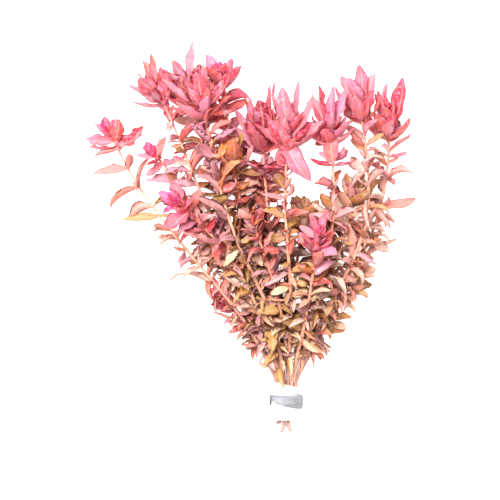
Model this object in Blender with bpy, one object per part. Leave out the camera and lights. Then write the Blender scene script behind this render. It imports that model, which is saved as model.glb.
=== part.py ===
"""A cut bunch of rotala, a red aquarium stem plant, lying on a flat surface.

Twenty-two leafy shoots are held by a white foam collar with a strip of soft lead bent round its
waist. Above the collar the shoots fan out and lie over one another, and each ends in a crown of
cupped leaves. Each shoot is one grown piece: a square stem with its opposite leaves, every pair
turned a quarter from the pair below it. The origin is on the underside of the lead strip, where the
bunch rests; +Y runs along the bunch to the shoot tips and +Z is up, away from the surface.
"""

import math
import random
from collections import namedtuple

import bmesh
import bpy
import numpy as np
from mathutils import Quaternion, Vector
from mathutils.bvhtree import BVHTree

MM = 0.001

# Stems, in millimetres
STEM_BASE_WIDTH = 1.6
STEM_TIP_WIDTH = 0.9
STEM_STEP = 2.5
STEM_GAP = 0.85
CURVE_STEPS = 24
CORNER_REACH = math.sqrt(0.5)
TURN_LENGTH = 30.0

# How crossing stems are moved apart: rounds, share of the overlap along x, y and z, and smoothing
SPREAD_ROUNDS = 300
SPREAD_SHARES = (0.25, 0.1, 0.45)
SPREAD_SMOOTHING = 0.15

# Places of the stems inside the collar, in millimetres
SLOT_PITCH = 2.0
SLOT_COLUMNS = 6
SLOT_LOWEST_Z = 3.2

# Leaves, in millimetres
LEAF_BAND = 1.2
LEAF_THICKNESS = 0.4
LEAF_CLEARANCE = 0.3
LOW_LEAF_LENGTH = 14.0
WIDEST_LEAF = 11.0
CROWN_STEPS = (1.6, 2.2, 2.8, 3.6)
CROWN_REACH = (0.55, 0.8, 0.96, 1.04)
INTERNODE = 16.0
UPPER_INTERNODE = 11.5
UPPER_PAIRS = 6
BARE_STEM = 7.0
BUD_LENGTH = 1.2
LOW_LEAVES_FROM = 12.0
LOW_LEAVES_RANGE = 90.0

# How leaves lean from the stem, in degrees
OPEN_LEAN = 62
DROOP = 55
MOST_LEAN = 125

# Each ring of a leaf: its share of the length, and its share of the widest width
LARGE_LEAF_RINGS = ((0.36, 1.0), (0.7, 0.76))
YOUNG_LEAF_RINGS = ((0.45, 1.0),)
SMALL_LEAF_RINGS = ((0.42, 1.0),)

# How a leaf looks for room: tries, and how much it turns aside and shrinks with each
LEAF_TRIES = 24
LEAF_SWING = 0.045
LEAF_SHRINK = 0.035
LEAST_OUTWARD = 0.05
NAMED_LEAF_LENGTHS = (5, 32)
NAMED_LEAF_SITES = 5
NAMED_LEAF_OUTWARD = 0.12

# Foam collar, in millimetres; each roundness runs from 0, square, to 1, elliptical
COLLAR_WIDTH = 21.5
COLLAR_HEIGHT = 15.6
COLLAR_LOWER_Y = -9.2
COLLAR_UPPER_Y = 8.6
COLLAR_RIM_SLOPE = -0.26
COLLAR_SIDES = 16
COLLAR_ROUNDNESS = 0.5
COLLAR_UNDERSIDE = 0.25
RIM_ROUNDING = 1.0
MOUTH_HALF_WIDTH = 8.6
MOUTH_LOW_Z = 1.1
MOUTH_HIGH_Z = 13.6
MOUTH_ROUNDNESS = 0.4
STRAIGHT_TO_Y = 11.0
WAIST_HALF_WIDTH = 7.15
WAIST_LOW_Z = 1.15
WAIST_HIGH_Z = 11.55
WAIST_LIP = 1.6
WAIST_LIP_RISE = 2.2
WAIST_GAP = 0.3
HOLE_HALF_WIDTH = 6.45
HOLE_LOW_Z = 1.95
HOLE_HIGH_Z = 10.45
HOLE_ROUNDNESS = 0.2
HOLE_INSET = 0.4

# Lead strip, in millimetres: the x and z of its path, anticlockwise seen from the shoots, with its
# half width and how far its middle is shifted along the collar
STRIP_THICKNESS = 0.8
STRIP_LOWER_Y = -3.1
STRIP_UPPER_Y = 3.3
STRIP_PATH = [(1.0, 12.3), (4.4, 12.25), (6.7, 11.4), (7.85, 9.2), (7.95, 6.0), (7.85, 3.2), (7.2, 1.2),
              (5.6, 0.4), (4.6, 0.4), (0.0, 0.4), (-4.6, 0.4), (-5.6, 0.4), (-7.2, 1.2), (-7.85, 3.2),
              (-7.95, 6.0)]
STRIP_HALF = 2.75
STRIP_LAP = [(-7.85, 9.6, 2.1, 1.1), (-6.9, 11.9, 1.6, 1.6), (-4.6, 13.1, 2.2, 1.0),
             (-1.5, 13.5, 2.7, 0.5), (1.0, 13.75, 2.75, 0.3), (4.5, 13.85, 3.05, 0.1),
             (8.0, 13.3, 3.3, -0.2)]

Shoot = namedtuple("Shoot", "name slot seed turn route tips crown length tail")
Blade = namedtuple("Blade", "base rings tip")

# A leaf's width as a share of its length, its bow as a share of its length, its cup in degrees, and
# how far its face is turned up, each between two ends
LeafLooks = namedtuple("LeafLooks", "slimness bow cup roll")
CROWN_LEAF = LeafLooks((0.58, 0.7), (0.08, 0.13), (15, 29), (0.1, 0.5))
LOW_LEAF = LeafLooks((0.38, 0.5), (-0.16, 0.02), (12, 32), (0.0, 0.75))

# Each route runs from above the collar to the bud, in millimetres. The tips are where its most
# visible leaves end, with a leaf's width and the pair it belongs to, counted down from the bud, where
# they matter. The crown says how wide its top leaves open, in degrees from the stem.
SHOOTS = [
    Shoot("shoot_far_left", (0, 2), 11, 20,
          [(-13.5, 31.5, 12), (-21.5, 43.5, 14), (-36, 59, 15), (-51.5, 77.5, 13), (-63, 91.5, 11),
           (-71.5, 103, 9.5), (-76, 109.5, 9), (-82, 120, 8.5), (-88.5, 135.5, 9)],
          [(-101.4, 132.8, 0), (-70.5, 137.5, 10), (-83.2, 141, 14), (-98, 114, 2), (-65.5, 122.5, 15),
           (-88.6, 96, 0), (-85, 92, 9), (-65.2, 81, 4), (-55, 90, 19), (-65.2, 72, 12),
           (-59.8, 61, 0), (-37, 71, 20), (-52, 57, 14), (-40, 50, 12)],
          34, 17, (0, -7)),
    Shoot("shoot_small_left", (0, 1), 12, 65,
          [(-12, 30, 8), (-24, 52, 11), (-36, 76, 14), (-46, 95, 16), (-54, 113, 18),
           (-60, 121.5, 19.5), (-67.5, 125, 21)],
          [(-75, 123, 20), (-59.5, 132, 24), (-48, 123, 22), (-60.5, 115.5, 27), (-70, 112, 16)],
          55, 13, (0, -5)),
    Shoot("shoot_top_left", (1, 2), 13, 10,
          [(-12, 36, 12), (-22, 58, 18), (-32, 80, 22), (-40, 98, 24), (-47, 113, 25),
           (-52, 128, 26), (-55, 138, 26), (-59.5, 147, 26), (-63.5, 153.5, 26.5), (-66, 158.5, 27)],
          [(-71.5, 170, 24, 6), (-67.5, 173, 31, 7), (-77.5, 165.5, 27, 6), (-79, 157, 22, 7),
           (-76, 160, 33, 10), (-70, 151.5, 17, 8), (-59.5, 163, 35, 9), (-43.3, 150.5, 27, 6),
           (-40, 140, 33, 9), (-57.6, 134, 34), (-68, 132, 22), (-62, 168, 31, 8)],
          38, 25, (-0.4, -10.8)),
    Shoot("shoot_tall", (2, 2), 14, 35,
          [(-10, 40, 10), (-20, 64, 13), (-29, 88, 15), (-35, 106, 16), (-40, 122, 16),
           (-44, 136, 16), (-47.5, 147, 17), (-49.5, 158, 18)],
          [(-47.4, 180.4, 20, 8), (-57, 172, 16, 9), (-64, 165.5, 18, 9), (-42, 170, 22, 9),
           (-61, 158, 12, 8), (-38, 160, 12, 8), (-52, 175, 13, 7), (-31, 141, 20, 8, 4)],
          38, 26, (0, -6)),
    Shoot("shoot_star", (2, 3), 15, 80,
          [(-2, 27, 14.5), (-5, 38, 20), (-12, 57, 28), (-19.5, 67.5, 31), (-25.5, 78.5, 33),
           (-30, 94.5, 34), (-33.5, 105.5, 34), (-35.5, 120.5, 34), (-38, 133, 34.5),
           (-40.5, 143.5, 35), (-43, 152, 36)],
          [(-61.5, 161, 36, 10, 2), (-26.5, 164, 36, 10, 2), (-44.5, 163.5, 46, 9, 1),
           (-30, 159.5, 27, 9, 1), (-48, 166, 39, 8, 0), (-41, 167.5, 36, 7, 0),
           (-56.5, 145.5, 42, 8, 3), (-26, 144.5, 31, 9, 3), (-47.5, 138, 37, 9, 4),
           (-24.5, 136.5, 36, 9, 4), (-44, 127, 44, 8, 5), (-23, 132, 27, 7, 5), (-45, 117, 42),
           (-21, 121, 38), (-22, 106, 40), (-45, 101, 41)],
          50, 26, (-1.6, -15.4)),
    Shoot("shoot_behind", (1, 1), 16, 50,
          [(-7, 38, 8), (-13, 64, 9), (-18, 90, 9), (-22, 110, 9.5), (-27, 128, 10.5),
           (-31, 145, 12), (-33, 156, 14), (-33.2, 164, 17)],
          [(-34.5, 169, 22), (-27, 165, 14), (-19, 150.5, 10), (-38, 146, 1), (-16, 138, 3)],
          34, 19, (0, -6)),
    Shoot("shoot_left_centre", (3, 1), 17, 0,
          [(-1, 30, 10), (-4, 52, 15), (-7.5, 80, 19), (-10.5, 103, 20), (-11, 116, 21),
           (-11, 126, 22), (-12.5, 135.5, 24)],
          [(-18.5, 161, 25, 8), (-13, 162.5, 28, 9), (-20.5, 154, 20, 10), (-9, 158, 33, 10),
           (-27, 146.5, 20, 9), (-16, 157, 33, 9), (-23, 138, 16, 8)],
          28, 28, (0, -12.8)),
    Shoot("shoot_centre", (3, 3), 18, 5,
          [(1.5, 30, 16), (3, 48, 25), (2, 67, 32), (0.5, 78.5, 35), (-1.5, 89, 37),
           (-1.5, 101.5, 38), (-0.5, 113, 38), (0.5, 122, 37), (1, 130, 37), (0.5, 137, 37)],
          [(-6, 162, 36, 8, 0), (5, 161, 36, 8, 0), (-2.5, 156, 46, 10, 1), (7, 155, 30, 10, 1),
           (14.5, 155, 39, 10, 2), (-9.5, 147, 42, 10, 2), (12, 109, 46, 10, 3), (-2, 111.5, 29, 9, 3),
           (-26, 121, 38, 8, 4), (14.5, 130, 38, 8, 4), (-5.5, 113, 45, 10, 5), (-18, 113, 32, 8, 5),
           (-13, 95, 42), (12, 95, 40)],
          30, 29, (1.2, -15)),
    Shoot("shoot_heart", (5, 3), 19, 0,
          [(7, 22, 13), (12, 35.5, 17), (16, 50.5, 22), (19.5, 65.5, 26), (22.5, 80.5, 29),
           (24.5, 93.5, 31), (24.5, 105, 31), (23.5, 115, 31), (22, 125, 31),
           (21.5, 133, 31), (21.5, 140, 32)],
          [(16, 157.5, 34, 10, 0), (29.2, 155, 34, 10, 0), (22.5, 158, 39, 6, 1), (12.5, 152, 25, 8, 1),
           (14.5, 142, 33, 9, 2), (34, 140.5, 32, 7, 2), (23.4, 118, 40, 8, 3), (14, 127, 26, 6, 3),
           (11, 120.5, 33, 5, 4), (36, 121.5, 33, 5, 4), (13, 108.5, 38, 6, 5), (37, 112.5, 27, 6, 5),
           (12, 99, 30, 5, 6), (35, 96, 36)],
          32, 24, (0, -8)),
    Shoot("shoot_upper_right", (5, 2), 20, 40,
          [(8, 22, 10), (18, 42, 15), (28, 60, 19), (37, 76, 21), (42.5, 90.5, 22),
           (42.5, 101, 22), (41, 110, 22), (40, 121, 22), (39.5, 132, 22), (38, 142, 22),
           (35.5, 150.5, 23)],
          [(29.8, 168.4, 24, 10), (36, 168, 21, 9), (43.5, 164, 22, 9), (33, 152.5, 31, 10, 3),
           (23.5, 157, 16, 5, 3), (29.5, 137, 29, 7, 4), (48.5, 134, 24, 8, 4), (30, 127, 28, 5, 5),
           (45.5, 124, 26, 7, 5), (47, 107, 28, 11, 6), (41.5, 85, 33, 8, 6), (31.5, 106, 27),
           (47, 98, 33, 9), (30, 90, 28), (52, 85, 24)],
          36, 25, (0, -7)),
    Shoot("shoot_right", (5, 1), 21, 25,
          [(7, 20, 6.5), (18, 38, 8), (29, 56, 9), (40, 74, 9.5), (47, 92, 9.5), (50.5, 107, 9.5),
           (51.8, 118, 9.5), (52, 127, 10), (51.7, 135, 12), (51, 142.5, 14)],
          [(57, 162.5, 18, 11, 2), (44.5, 154.5, 18, 10, 2), (47.5, 161.5, 20, 9, 0),
           (54, 160.5, 13, 9, 0), (52, 158.5, 26, 10, 1), (45, 164, 10, 9, 1), (43, 148.5, 22, 10, 3),
           (57, 140.5, 5, 6, 3), (41, 127.5, 8, 7, 4), (61, 124.5, 6, 5, 4), (42, 117, 10, 6, 5),
           (54, 107.5, 14, 5, 5), (65.2, 101.5, 0), (61.5, 94.5, 5), (44.5, 89, 10, 7), (44, 112, 0),
           (56, 81, 1), (37, 88, 0)],
          32, 27, (0, -6)),
    Shoot("shoot_rosette", (1, 3), 22, 30,
          [(-8, 31, 15), (-14, 48, 21), (-22, 65, 26), (-29, 76, 28), (-36, 83, 30),
           (-43, 89, 32), (-50, 95, 35), (-55, 101, 40)],
          [(-57, 110, 41), (-65, 105, 38), (-61.5, 94, 40), (-45, 102, 44), (-52, 84, 38),
           (-33, 92, 39), (-49, 79, 30), (-27, 84, 38), (-31, 62, 31)],
          50, 16, (-1.6, -11)),
    Shoot("shoot_left_mid", (2, 1), 23, 15,
          [(-4.5, 30, 11), (-10, 48, 16), (-16, 66, 21), (-20, 84, 24), (-23, 100, 26),
           (-25.5, 114, 27), (-28, 124, 28)],
          [(-37, 131, 28), (-22, 134, 26), (-45, 112, 29), (-12, 113, 28), (-34, 96, 26)],
          45, 22, (-0.2, -12.2)),
    Shoot("shoot_low_bud", (4, 3), 24, 45,
          [(4.5, 20, 15), (8, 33, 21), (10.5, 45, 28), (12.5, 57, 33), (13.8, 68, 37),
           (14.5, 77, 40), (16, 85, 43.5)],
          [(6, 88, 42, 5), (11.5, 94, 46, 6), (19.5, 94, 45, 6), (24, 84.5, 42, 6), (14, 77.5, 46),
           (4, 68, 41), (24, 70, 38), (23, 55, 34), (2, 52, 36)],
          52, 13, (0.2, -8)),
    Shoot("shoot_inner_left", (3, 2), 25, 60,
          [(0.5, 26, 13), (-1, 40, 20), (-4.5, 56, 27), (-8, 67.5, 31), (-11.5, 76, 34),
           (-16, 87, 37), (-19, 94, 39)],
          [(-15, 99, 43), (-26, 98, 38), (-13, 90, 43), (-24, 86, 42), (-3, 74, 41), (-18, 62, 36)],
          40, 14, (0.3, -11.8)),
    Shoot("shoot_inner_right", (4, 1), 26, 30,
          [(6, 24, 8), (12, 40, 11), (18, 52, 14), (24, 64, 16), (28, 76, 17), (31, 88, 17),
           (33, 98, 17), (34, 107, 17)],
          [(29, 114, 16), (39, 114, 19), (25, 104, 18), (23, 94, 22), (45.5, 67.5, 18, 6, 4),
           (40, 71, 19)],
          42, 20, (0, -7.5)),
    Shoot("shoot_low_left", (0, 0), 27, 20,
          [(-9, 24, 6), (-15, 34, 7), (-22, 43, 8), (-29, 50, 9), (-35, 54, 10)],
          [(-40.5, 55.5, 11), (-36, 62, 8), (-38, 48, 12), (-26, 60, 6), (-29.5, 34, 3),
           (-20.5, 26, 2)],
          44, 13, (0, -6)),
    Shoot("shoot_back_centre", (2, 0), 28, 35,
          [(-2, 34, 5.5), (-4.5, 56, 6), (-7.5, 78, 7), (-10, 98, 8), (-12, 113, 10)],
          [(-13, 124, 12), (-20, 116, 4), (-3, 118, 5), (-1, 98, 0), (-19, 97, 0)],
          40, 21, (0, -5)),
    Shoot("shoot_low_right", (5, 0), 29, 50,
          [(9, 19, 5), (16, 31, 6), (23, 42, 7), (29, 52, 8), (34, 61, 9), (37.5, 68, 10.5)],
          [(45, 66, 8, 7), (35, 76, 12), (43, 58, 3), (35, 53, 15), (33.5, 42.5, 5),
           (23.5, 29.5, 3), (19, 49, 2)],
          46, 14, (0, -5)),
    Shoot("shoot_left_lower", (1, 0), 30, 5,
          [(-7, 26, 5.5), (-15, 42, 6.5), (-24, 57, 7), (-33, 71, 7.5), (-41, 84, 8.5), (-48, 95, 10)],
          [(-54, 102, 12), (-43, 103, 8), (-54, 89, 3), (-37, 94, 3), (-28, 72, 0), (-46, 74, 0)],
          40, 16, (0, -6)),
    Shoot("shoot_back_right", (3, 0), 31, 25,
          [(1.5, 34, 5.5), (3.5, 54, 6.5), (5.5, 72, 7.5), (7.5, 86, 8.5), (9, 96, 10.5)],
          [(11, 105.5, 12), (3, 102.5, 14), (16.5, 101, 7), (13, 84, 0), (-1, 76, 1)],
          40, 17, (0, -6.5)),
    Shoot("shoot_under_heart", (4, 0), 32, 60,
          [(5.5, 30, 5.5), (11, 48, 6.5), (16, 64, 7.5), (20, 79, 8.5), (22.5, 90, 10),
           (24, 98, 12)],
          [(25, 107, 13), (31, 102, 9), (17, 104, 15), (31, 88, 3), (14, 72, 2), (29, 72, 1)],
          40, 17, (0, -5)),
]


def remove_old_objects():
    for old in list(bpy.data.objects):
        bpy.data.objects.remove(old, do_unlink=True)


def principled(name, colour, roughness, metallic=0.0):
    material = bpy.data.materials.new(name)
    material.use_nodes = True
    shader = material.node_tree.nodes["Principled BSDF"]
    shader.inputs["Base Color"].default_value = (*colour, 1.0)
    shader.inputs["Roughness"].default_value = roughness
    shader.inputs["Metallic"].default_value = metallic
    return material


def finish_object(name, bm, material):
    """Turns a bmesh in millimetres into a named object in metres, all triangles."""
    bmesh.ops.triangulate(bm, faces=bm.faces[:])
    bmesh.ops.scale(bm, vec=(MM, MM, MM), verts=bm.verts[:])
    mesh = bpy.data.meshes.new(name)
    bm.to_mesh(mesh)
    bm.free()
    thing = bpy.data.objects.new(name, mesh)
    thing.data.materials.append(material)
    bpy.context.scene.collection.objects.link(thing)
    return thing


def slot_place(slot):
    column, row = slot
    x = (column - (SLOT_COLUMNS - 1) / 2) * SLOT_PITCH
    return x, SLOT_LOWEST_Z + row * SLOT_PITCH


def smooth_route(points, step):
    """Points at even steps along a Catmull-Rom curve through the given ones."""
    knots = [Vector(p) for p in points]
    ends = [knots[0] * 2 - knots[1]] + knots + [knots[-1] * 2 - knots[-2]]
    fine = []
    for before, a, b, after in zip(ends, ends[1:], ends[2:], ends[3:]):
        for k in range(CURVE_STEPS):
            t = k / CURVE_STEPS
            fine.append(0.5 * (2 * a + (b - before) * t + (2 * before - 5 * a + 4 * b - after) * t**2
                               + (3 * a - before - 3 * b + after) * t**3))
    fine.append(knots[-1])
    lengths = [0.0]
    for a, b in zip(fine, fine[1:]):
        lengths.append(lengths[-1] + (b - a).length)
    count = max(round(lengths[-1] / step), 2)
    spots = np.linspace(0.0, lengths[-1], count + 1)
    return np.array([np.interp(spots, lengths, [p[axis] for p in fine]) for axis in range(3)]).T


def stem_lines():
    """Each shoot's centre line, from its cut end through the collar to its bud."""
    lines = []
    for shoot in SHOOTS:
        x, z = slot_place(shoot.slot)
        shift, end = shoot.tail
        start = [(x + shift, end, z), (x, COLLAR_LOWER_Y, z)] if end < COLLAR_LOWER_Y - 1 else [(x, end, z)]
        start += [(x, 0.0, z), (x, STRAIGHT_TO_Y, z)]
        lines.append(smooth_route(start + list(shoot.route), STEM_STEP))
    return lines


def stem_width(share):
    return STEM_BASE_WIDTH + (STEM_TIP_WIDTH - STEM_BASE_WIDTH) * share


def spread_stems(lines):
    """Pushes crossing stems apart until none is nearer to another than their widths allow."""
    owner = np.concatenate([np.full(len(line), k) for k, line in enumerate(lines)])
    share = np.concatenate([np.linspace(0, 1, len(line)) for line in lines])
    points = np.concatenate(lines)
    radius = stem_width(share) * CORNER_REACH
    fixed = points[:, 1] < STRAIGHT_TO_Y + 2
    for _ in range(SPREAD_ROUNDS):
        gap = points[:, None, :] - points[None, :, :]
        distance = np.sqrt((gap**2).sum(axis=2)) + 1e-9
        wanted = radius[:, None] + radius[None, :] + STEM_GAP
        near = (distance < wanted) & (owner[:, None] != owner[None, :])
        if not near[~fixed].any():
            break
        push = np.where(near, (wanted - distance) / distance, 0.0)
        move = (gap * push[:, :, None]).sum(axis=1) * np.array(SPREAD_SHARES)
        move[fixed] = 0.0
        points = points + move
        for k in range(len(lines)):
            mine = np.flatnonzero(owner == k)
            inner = mine[1:-1]
            middle = (points[mine[:-2]] + points[mine[2:]]) / 2
            free = ~fixed[inner]
            points[inner[free]] += (middle[free] - points[inner[free]]) * SPREAD_SMOOTHING
    return [points[owner == k] for k in range(len(lines))]


class Stem:
    """A square stem: its centre line with a frame that is carried along without twisting."""

    def __init__(self, shoot, line):
        self.shoot = shoot
        self.points = [Vector(p) for p in line]
        self.lengths = [0.0]
        for a, b in zip(self.points, self.points[1:]):
            self.lengths.append(self.lengths[-1] + (b - a).length)
        self.total = self.lengths[-1]
        heading = (self.points[1] - self.points[0]).normalized()
        side = Vector((1, 0, 0))
        self.sides = []
        for k, point in enumerate(self.points):
            after = self.points[min(k + 1, len(self.points) - 1)]
            before = self.points[max(k - 1, 0)]
            new_heading = (after - before).normalized()
            side = heading.rotation_difference(new_heading) @ side
            heading = new_heading
            self.sides.append(side.copy())

    def at(self, length):
        """Centre, heading and side vector at a length along the stem."""
        length = min(max(length, 0.0), self.total)
        k = min(int(np.searchsorted(self.lengths, length, side="right")) - 1, len(self.points) - 2)
        share = (length - self.lengths[k]) / (self.lengths[k + 1] - self.lengths[k])
        centre = self.points[k].lerp(self.points[k + 1], share)
        low, high = max(k - 1, 0), min(k + 2, len(self.points) - 1)
        first = (self.points[k + 1] - self.points[low]).normalized()
        second = (self.points[high] - self.points[k]).normalized()
        heading = first.lerp(second, share).normalized()
        side = self.sides[k].lerp(self.sides[k + 1], share)
        side = (side - heading * side.dot(heading)).normalized()
        return centre, heading, side

    def corners(self, length):
        """The four corners of the stem at a length, anticlockwise about its heading."""
        centre, heading, side = self.at(length)
        turn_share = min(max((length - self.collar_top()) / TURN_LENGTH, 0.0), 1.0)
        turned = Quaternion(heading, math.radians(self.shoot.turn * turn_share)) @ side
        reach = stem_width(length / self.total) * CORNER_REACH
        return [centre + Quaternion(heading, math.radians(45 + 90 * k)) @ turned * reach
                for k in range(4)]

    def collar_top(self):
        return STRAIGHT_TO_Y - self.shoot.tail[1]

    def leaf_bands(self):
        """From where to where each pair's leaves hold the stem: end to end in the crown."""
        bands = []
        spot = self.total - BUD_LENGTH
        for step in CROWN_STEPS:
            bands.append((spot - step, spot))
            spot -= step
        rng = random.Random(self.shoot.seed)
        while True:
            spot -= rng.uniform(0.75, 1.1) * (UPPER_INTERNODE if len(bands) < UPPER_PAIRS else INTERNODE)
            if spot < self.collar_top() + BARE_STEM:
                break
            bands.append((spot - LEAF_BAND / 2, spot + LEAF_BAND / 2))
        return bands[::-1]

    def ring_lengths(self):
        """The stem's rings: its cut end, both ends of the collar and the edges of every band."""
        below_collar = max(COLLAR_LOWER_Y - self.shoot.tail[1], 0.5)
        lengths = {0.0, below_collar, self.collar_top() - 2.0}
        for band in self.leaf_bands():
            lengths.update(band)
        return sorted(lengths)


def blade_points(base, tip, heading, out, shape):
    """The rings of a leaf: left edge, right edge and keel, on a bowed line from base to tip."""
    width, bow, cup, roll, ring_shares = shape
    upper_left, upper_right = base[3], base[2]
    foot = sum(base, Vector()) / 4
    along = (tip - foot).normalized()
    lean = math.acos(max(min(along.dot(heading), 1.0), -1.0))
    face = heading * math.sin(lean) - out * math.cos(lean)
    face = (face - along * face.dot(along)).normalized()
    face = face.lerp(Vector((0, 0, 1 if face.z > -0.25 else -1)), roll)
    face = (face - along * face.dot(along)).normalized()
    across = along.cross(face)
    if across.dot(upper_left - upper_right) < 0:
        across = -across
    reach = (tip - foot).length
    rings = []
    for share, wide in ring_shares:
        centre = foot.lerp(tip, share) - face * bow * reach * 4 * share * (1 - share)
        half = width * wide / 2
        spread = across * half * math.cos(cup)
        raised = face * half * math.sin(cup)
        rings.append((centre + spread + raised, centre - spread + raised, centre - face * LEAF_THICKNESS))
    return Blade(base, rings, tip)


def blade_faces(ring_count):
    """Corner numbers of a blade's faces: 0 to 3 the base, then three for each ring, then the tip."""
    left, right, keel = 4, 5, 6
    faces = [(0, 1, keel), (1, 2, right, keel), (2, 3, left, right), (3, 0, keel, left)]
    for _ in range(ring_count - 1):
        left_next, right_next, keel_next = left + 3, right + 3, keel + 3
        faces += [(keel, right, right_next, keel_next), (right, left, left_next, right_next),
                  (left, keel, keel_next, left_next)]
        left, right, keel = left_next, right_next, keel_next
    tip = keel + 1
    faces += [(keel, right, tip), (right, left, tip), (left, keel, tip)]
    return faces


def blade_list(blade):
    return list(blade.base) + [corner for ring in blade.rings for corner in ring] + [blade.tip]


def grown(blade):
    """The blade a little fatter and off its stem, so that what is clear of it has room."""
    foot = sum(blade.base, Vector()) / 4
    away = (sum(blade.rings[0], Vector()) / 3 - foot).normalized() * 0.2
    base = [corner + away for corner in blade.base]
    rings = []
    for ring in blade.rings:
        middle = sum(ring, Vector()) / 3
        rings.append([corner + (corner - middle).normalized() * LEAF_CLEARANCE * 1.5 for corner in ring])
    along = (blade.tip - foot).normalized()
    return Blade(base, rings, blade.tip + along * LEAF_CLEARANCE)


def bounds(points):
    low = [min(p[axis] for p in points) for axis in range(3)]
    high = [max(p[axis] for p in points) for axis in range(3)]
    return low, high


class Thicket:
    """Every stem and leaf placed so far, each with its owner, its bounds and a tree of its faces."""

    def __init__(self):
        self.things = []

    def add(self, owner, points, faces):
        self.things.append((owner, *bounds(points), BVHTree.FromPolygons(points, faces)))

    def clear(self, points, faces, own=None):
        """True if the faces touch nothing, or nothing but what their own shoot has."""
        low, high = bounds(points)
        tree = None
        for owner, other_low, other_high, other in self.things:
            if owner == own or any(low[a] > other_high[a] or high[a] < other_low[a] for a in range(3)):
                continue
            if tree is None:
                tree = BVHTree.FromPolygons(points, faces)
            if tree.overlap(other):
                return False
        return True


LeafSite = namedtuple("LeafSite", "stem node side base heading out level low_share")


def leaf_sites(stem):
    """Both sites of every node, with the stem's face that each leaf grows from."""
    sites = []
    bands = stem.leaf_bands()
    for node, (low, high) in enumerate(bands):
        below = stem.corners(low)
        above = stem.corners(high)
        middle = (low + high) / 2
        centre, heading, _ = stem.at(middle)
        level = len(bands) - 1 - node
        low_share = min(max((stem.total - middle - LOW_LEAVES_FROM) / LOW_LEAVES_RANGE, 0.0), 1.0)
        for side in (node % 2, node % 2 + 2):
            following = (side + 1) % 4
            base = [below[side], below[following], above[following], above[side]]
            out = (sum(base, Vector()) / 4 - centre).normalized()
            sites.append(LeafSite(stem, node, side, base, heading, out, level, low_share))
    return sites


def usual_tip(site, rng):
    """Where a leaf would end by itself: upright in the crown, open below it, drooping lower down."""
    shoot = site.stem.shoot
    if site.level < len(CROWN_STEPS):
        reach = shoot.length * CROWN_REACH[site.level] * rng.uniform(0.9, 1.05)
        lean = shoot.crown * (0.45 + 0.35 * site.level) + rng.uniform(-5, 5)
    else:
        reach = (shoot.length * (1 - site.low_share) + LOW_LEAF_LENGTH * site.low_share)
        reach *= rng.uniform(0.75, 1.05)
        lean = OPEN_LEAN + DROOP * site.low_share + rng.uniform(-18, 22)
    angle = math.radians(min(lean, MOST_LEAN))
    foot = sum(site.base, Vector()) / 4
    return foot + (site.heading * math.cos(angle) + site.out * math.sin(angle)) * reach


def leaf_shape(site, reach, rng):
    """Width, bow, cup, roll and rings: ovate and cupped in the crown, narrow and rolled below."""
    if site.level <= len(CROWN_STEPS):
        looks = CROWN_LEAF
        rings = LARGE_LEAF_RINGS if site.level > 0 else YOUNG_LEAF_RINGS
    else:
        looks = LOW_LEAF
        rings = SMALL_LEAF_RINGS
    width = min(reach * rng.uniform(*looks.slimness), WIDEST_LEAF)
    cup = math.radians(rng.uniform(*looks.cup))
    return width, rng.uniform(*looks.bow), cup, rng.uniform(*looks.roll), rings


def try_leaf(site, tip, thicket, rng, named_width=None):
    """The first blade towards the tip, or near it, that is clear of all that is placed."""
    foot = sum(site.base, Vector()) / 4
    reach = (tip - foot).length
    width, bow, cup, roll, ring_shares = leaf_shape(site, reach, rng)
    if named_width is not None:
        ring_shares = LARGE_LEAF_RINGS
        width = named_width or width
    for attempt in range(LEAF_TRIES):
        shorter = 1.0 - LEAF_SHRINK * attempt
        shift = Vector((rng.uniform(-1, 1), rng.uniform(-1, 1), rng.uniform(-0.6, 1.4)))
        aim = (tip - foot).normalized() + shift * LEAF_SWING * attempt
        aim = foot + aim.normalized() * reach * shorter
        if (aim - foot).normalized().dot(site.out) < LEAST_OUTWARD:
            continue
        aim.z = max(aim.z, 0.0)
        shape = (width * shorter**2, bow, cup, roll, ring_shares)
        blade = blade_points(site.base, aim, site.heading, site.out, shape)
        corners = blade_list(blade)
        if min(corner.z for corner in corners) < 0:
            continue
        faces = blade_faces(len(blade.rings))
        owner = site.stem.shoot.name
        if thicket.clear(blade_list(grown(blade)), faces) and thicket.clear(corners, faces, owner):
            thicket.add(owner, corners, faces)
            return blade
    return None


def grow_leaves(stems, thicket):
    """Leaves for every stem: the named tips first, then the crowns, then the rest."""
    sites = {stem.shoot.name: leaf_sites(stem) for stem in stems}
    grown_leaves = {}
    rng = random.Random(7)
    for stem in stems:
        mine = sites[stem.shoot.name]
        expected = {id(site): usual_tip(site, random.Random(stem.shoot.seed)) for site in mine}
        shortest, longest = NAMED_LEAF_LENGTHS
        for tip in stem.shoot.tips:
            target = Vector(tip[:3])
            width = tip[3] if len(tip) > 3 else 0
            level = tip[4] if len(tip) > 4 else None
            free = [s for s in mine if (stem.shoot.name, s.node, s.side) not in grown_leaves
                    and level in (None, s.level)
                    and shortest < (target - s.base[0]).length < longest
                    and (target - s.base[0]).normalized().dot(s.out) > NAMED_LEAF_OUTWARD]
            free.sort(key=lambda s: (target - expected[id(s)]).length)
            for site in free[:NAMED_LEAF_SITES]:
                blade = try_leaf(site, target, thicket, rng, width)
                if blade:
                    grown_leaves[stem.shoot.name, site.node, site.side] = blade
                    break
    everything = [site for stem in stems for site in sites[stem.shoot.name]]
    everything.sort(key=lambda s: s.level)
    for site in everything:
        key = (site.stem.shoot.name, site.node, site.side)
        if key not in grown_leaves:
            blade = try_leaf(site, usual_tip(site, rng), thicket, rng)
            if blade:
                grown_leaves[key] = blade
    return grown_leaves


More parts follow.
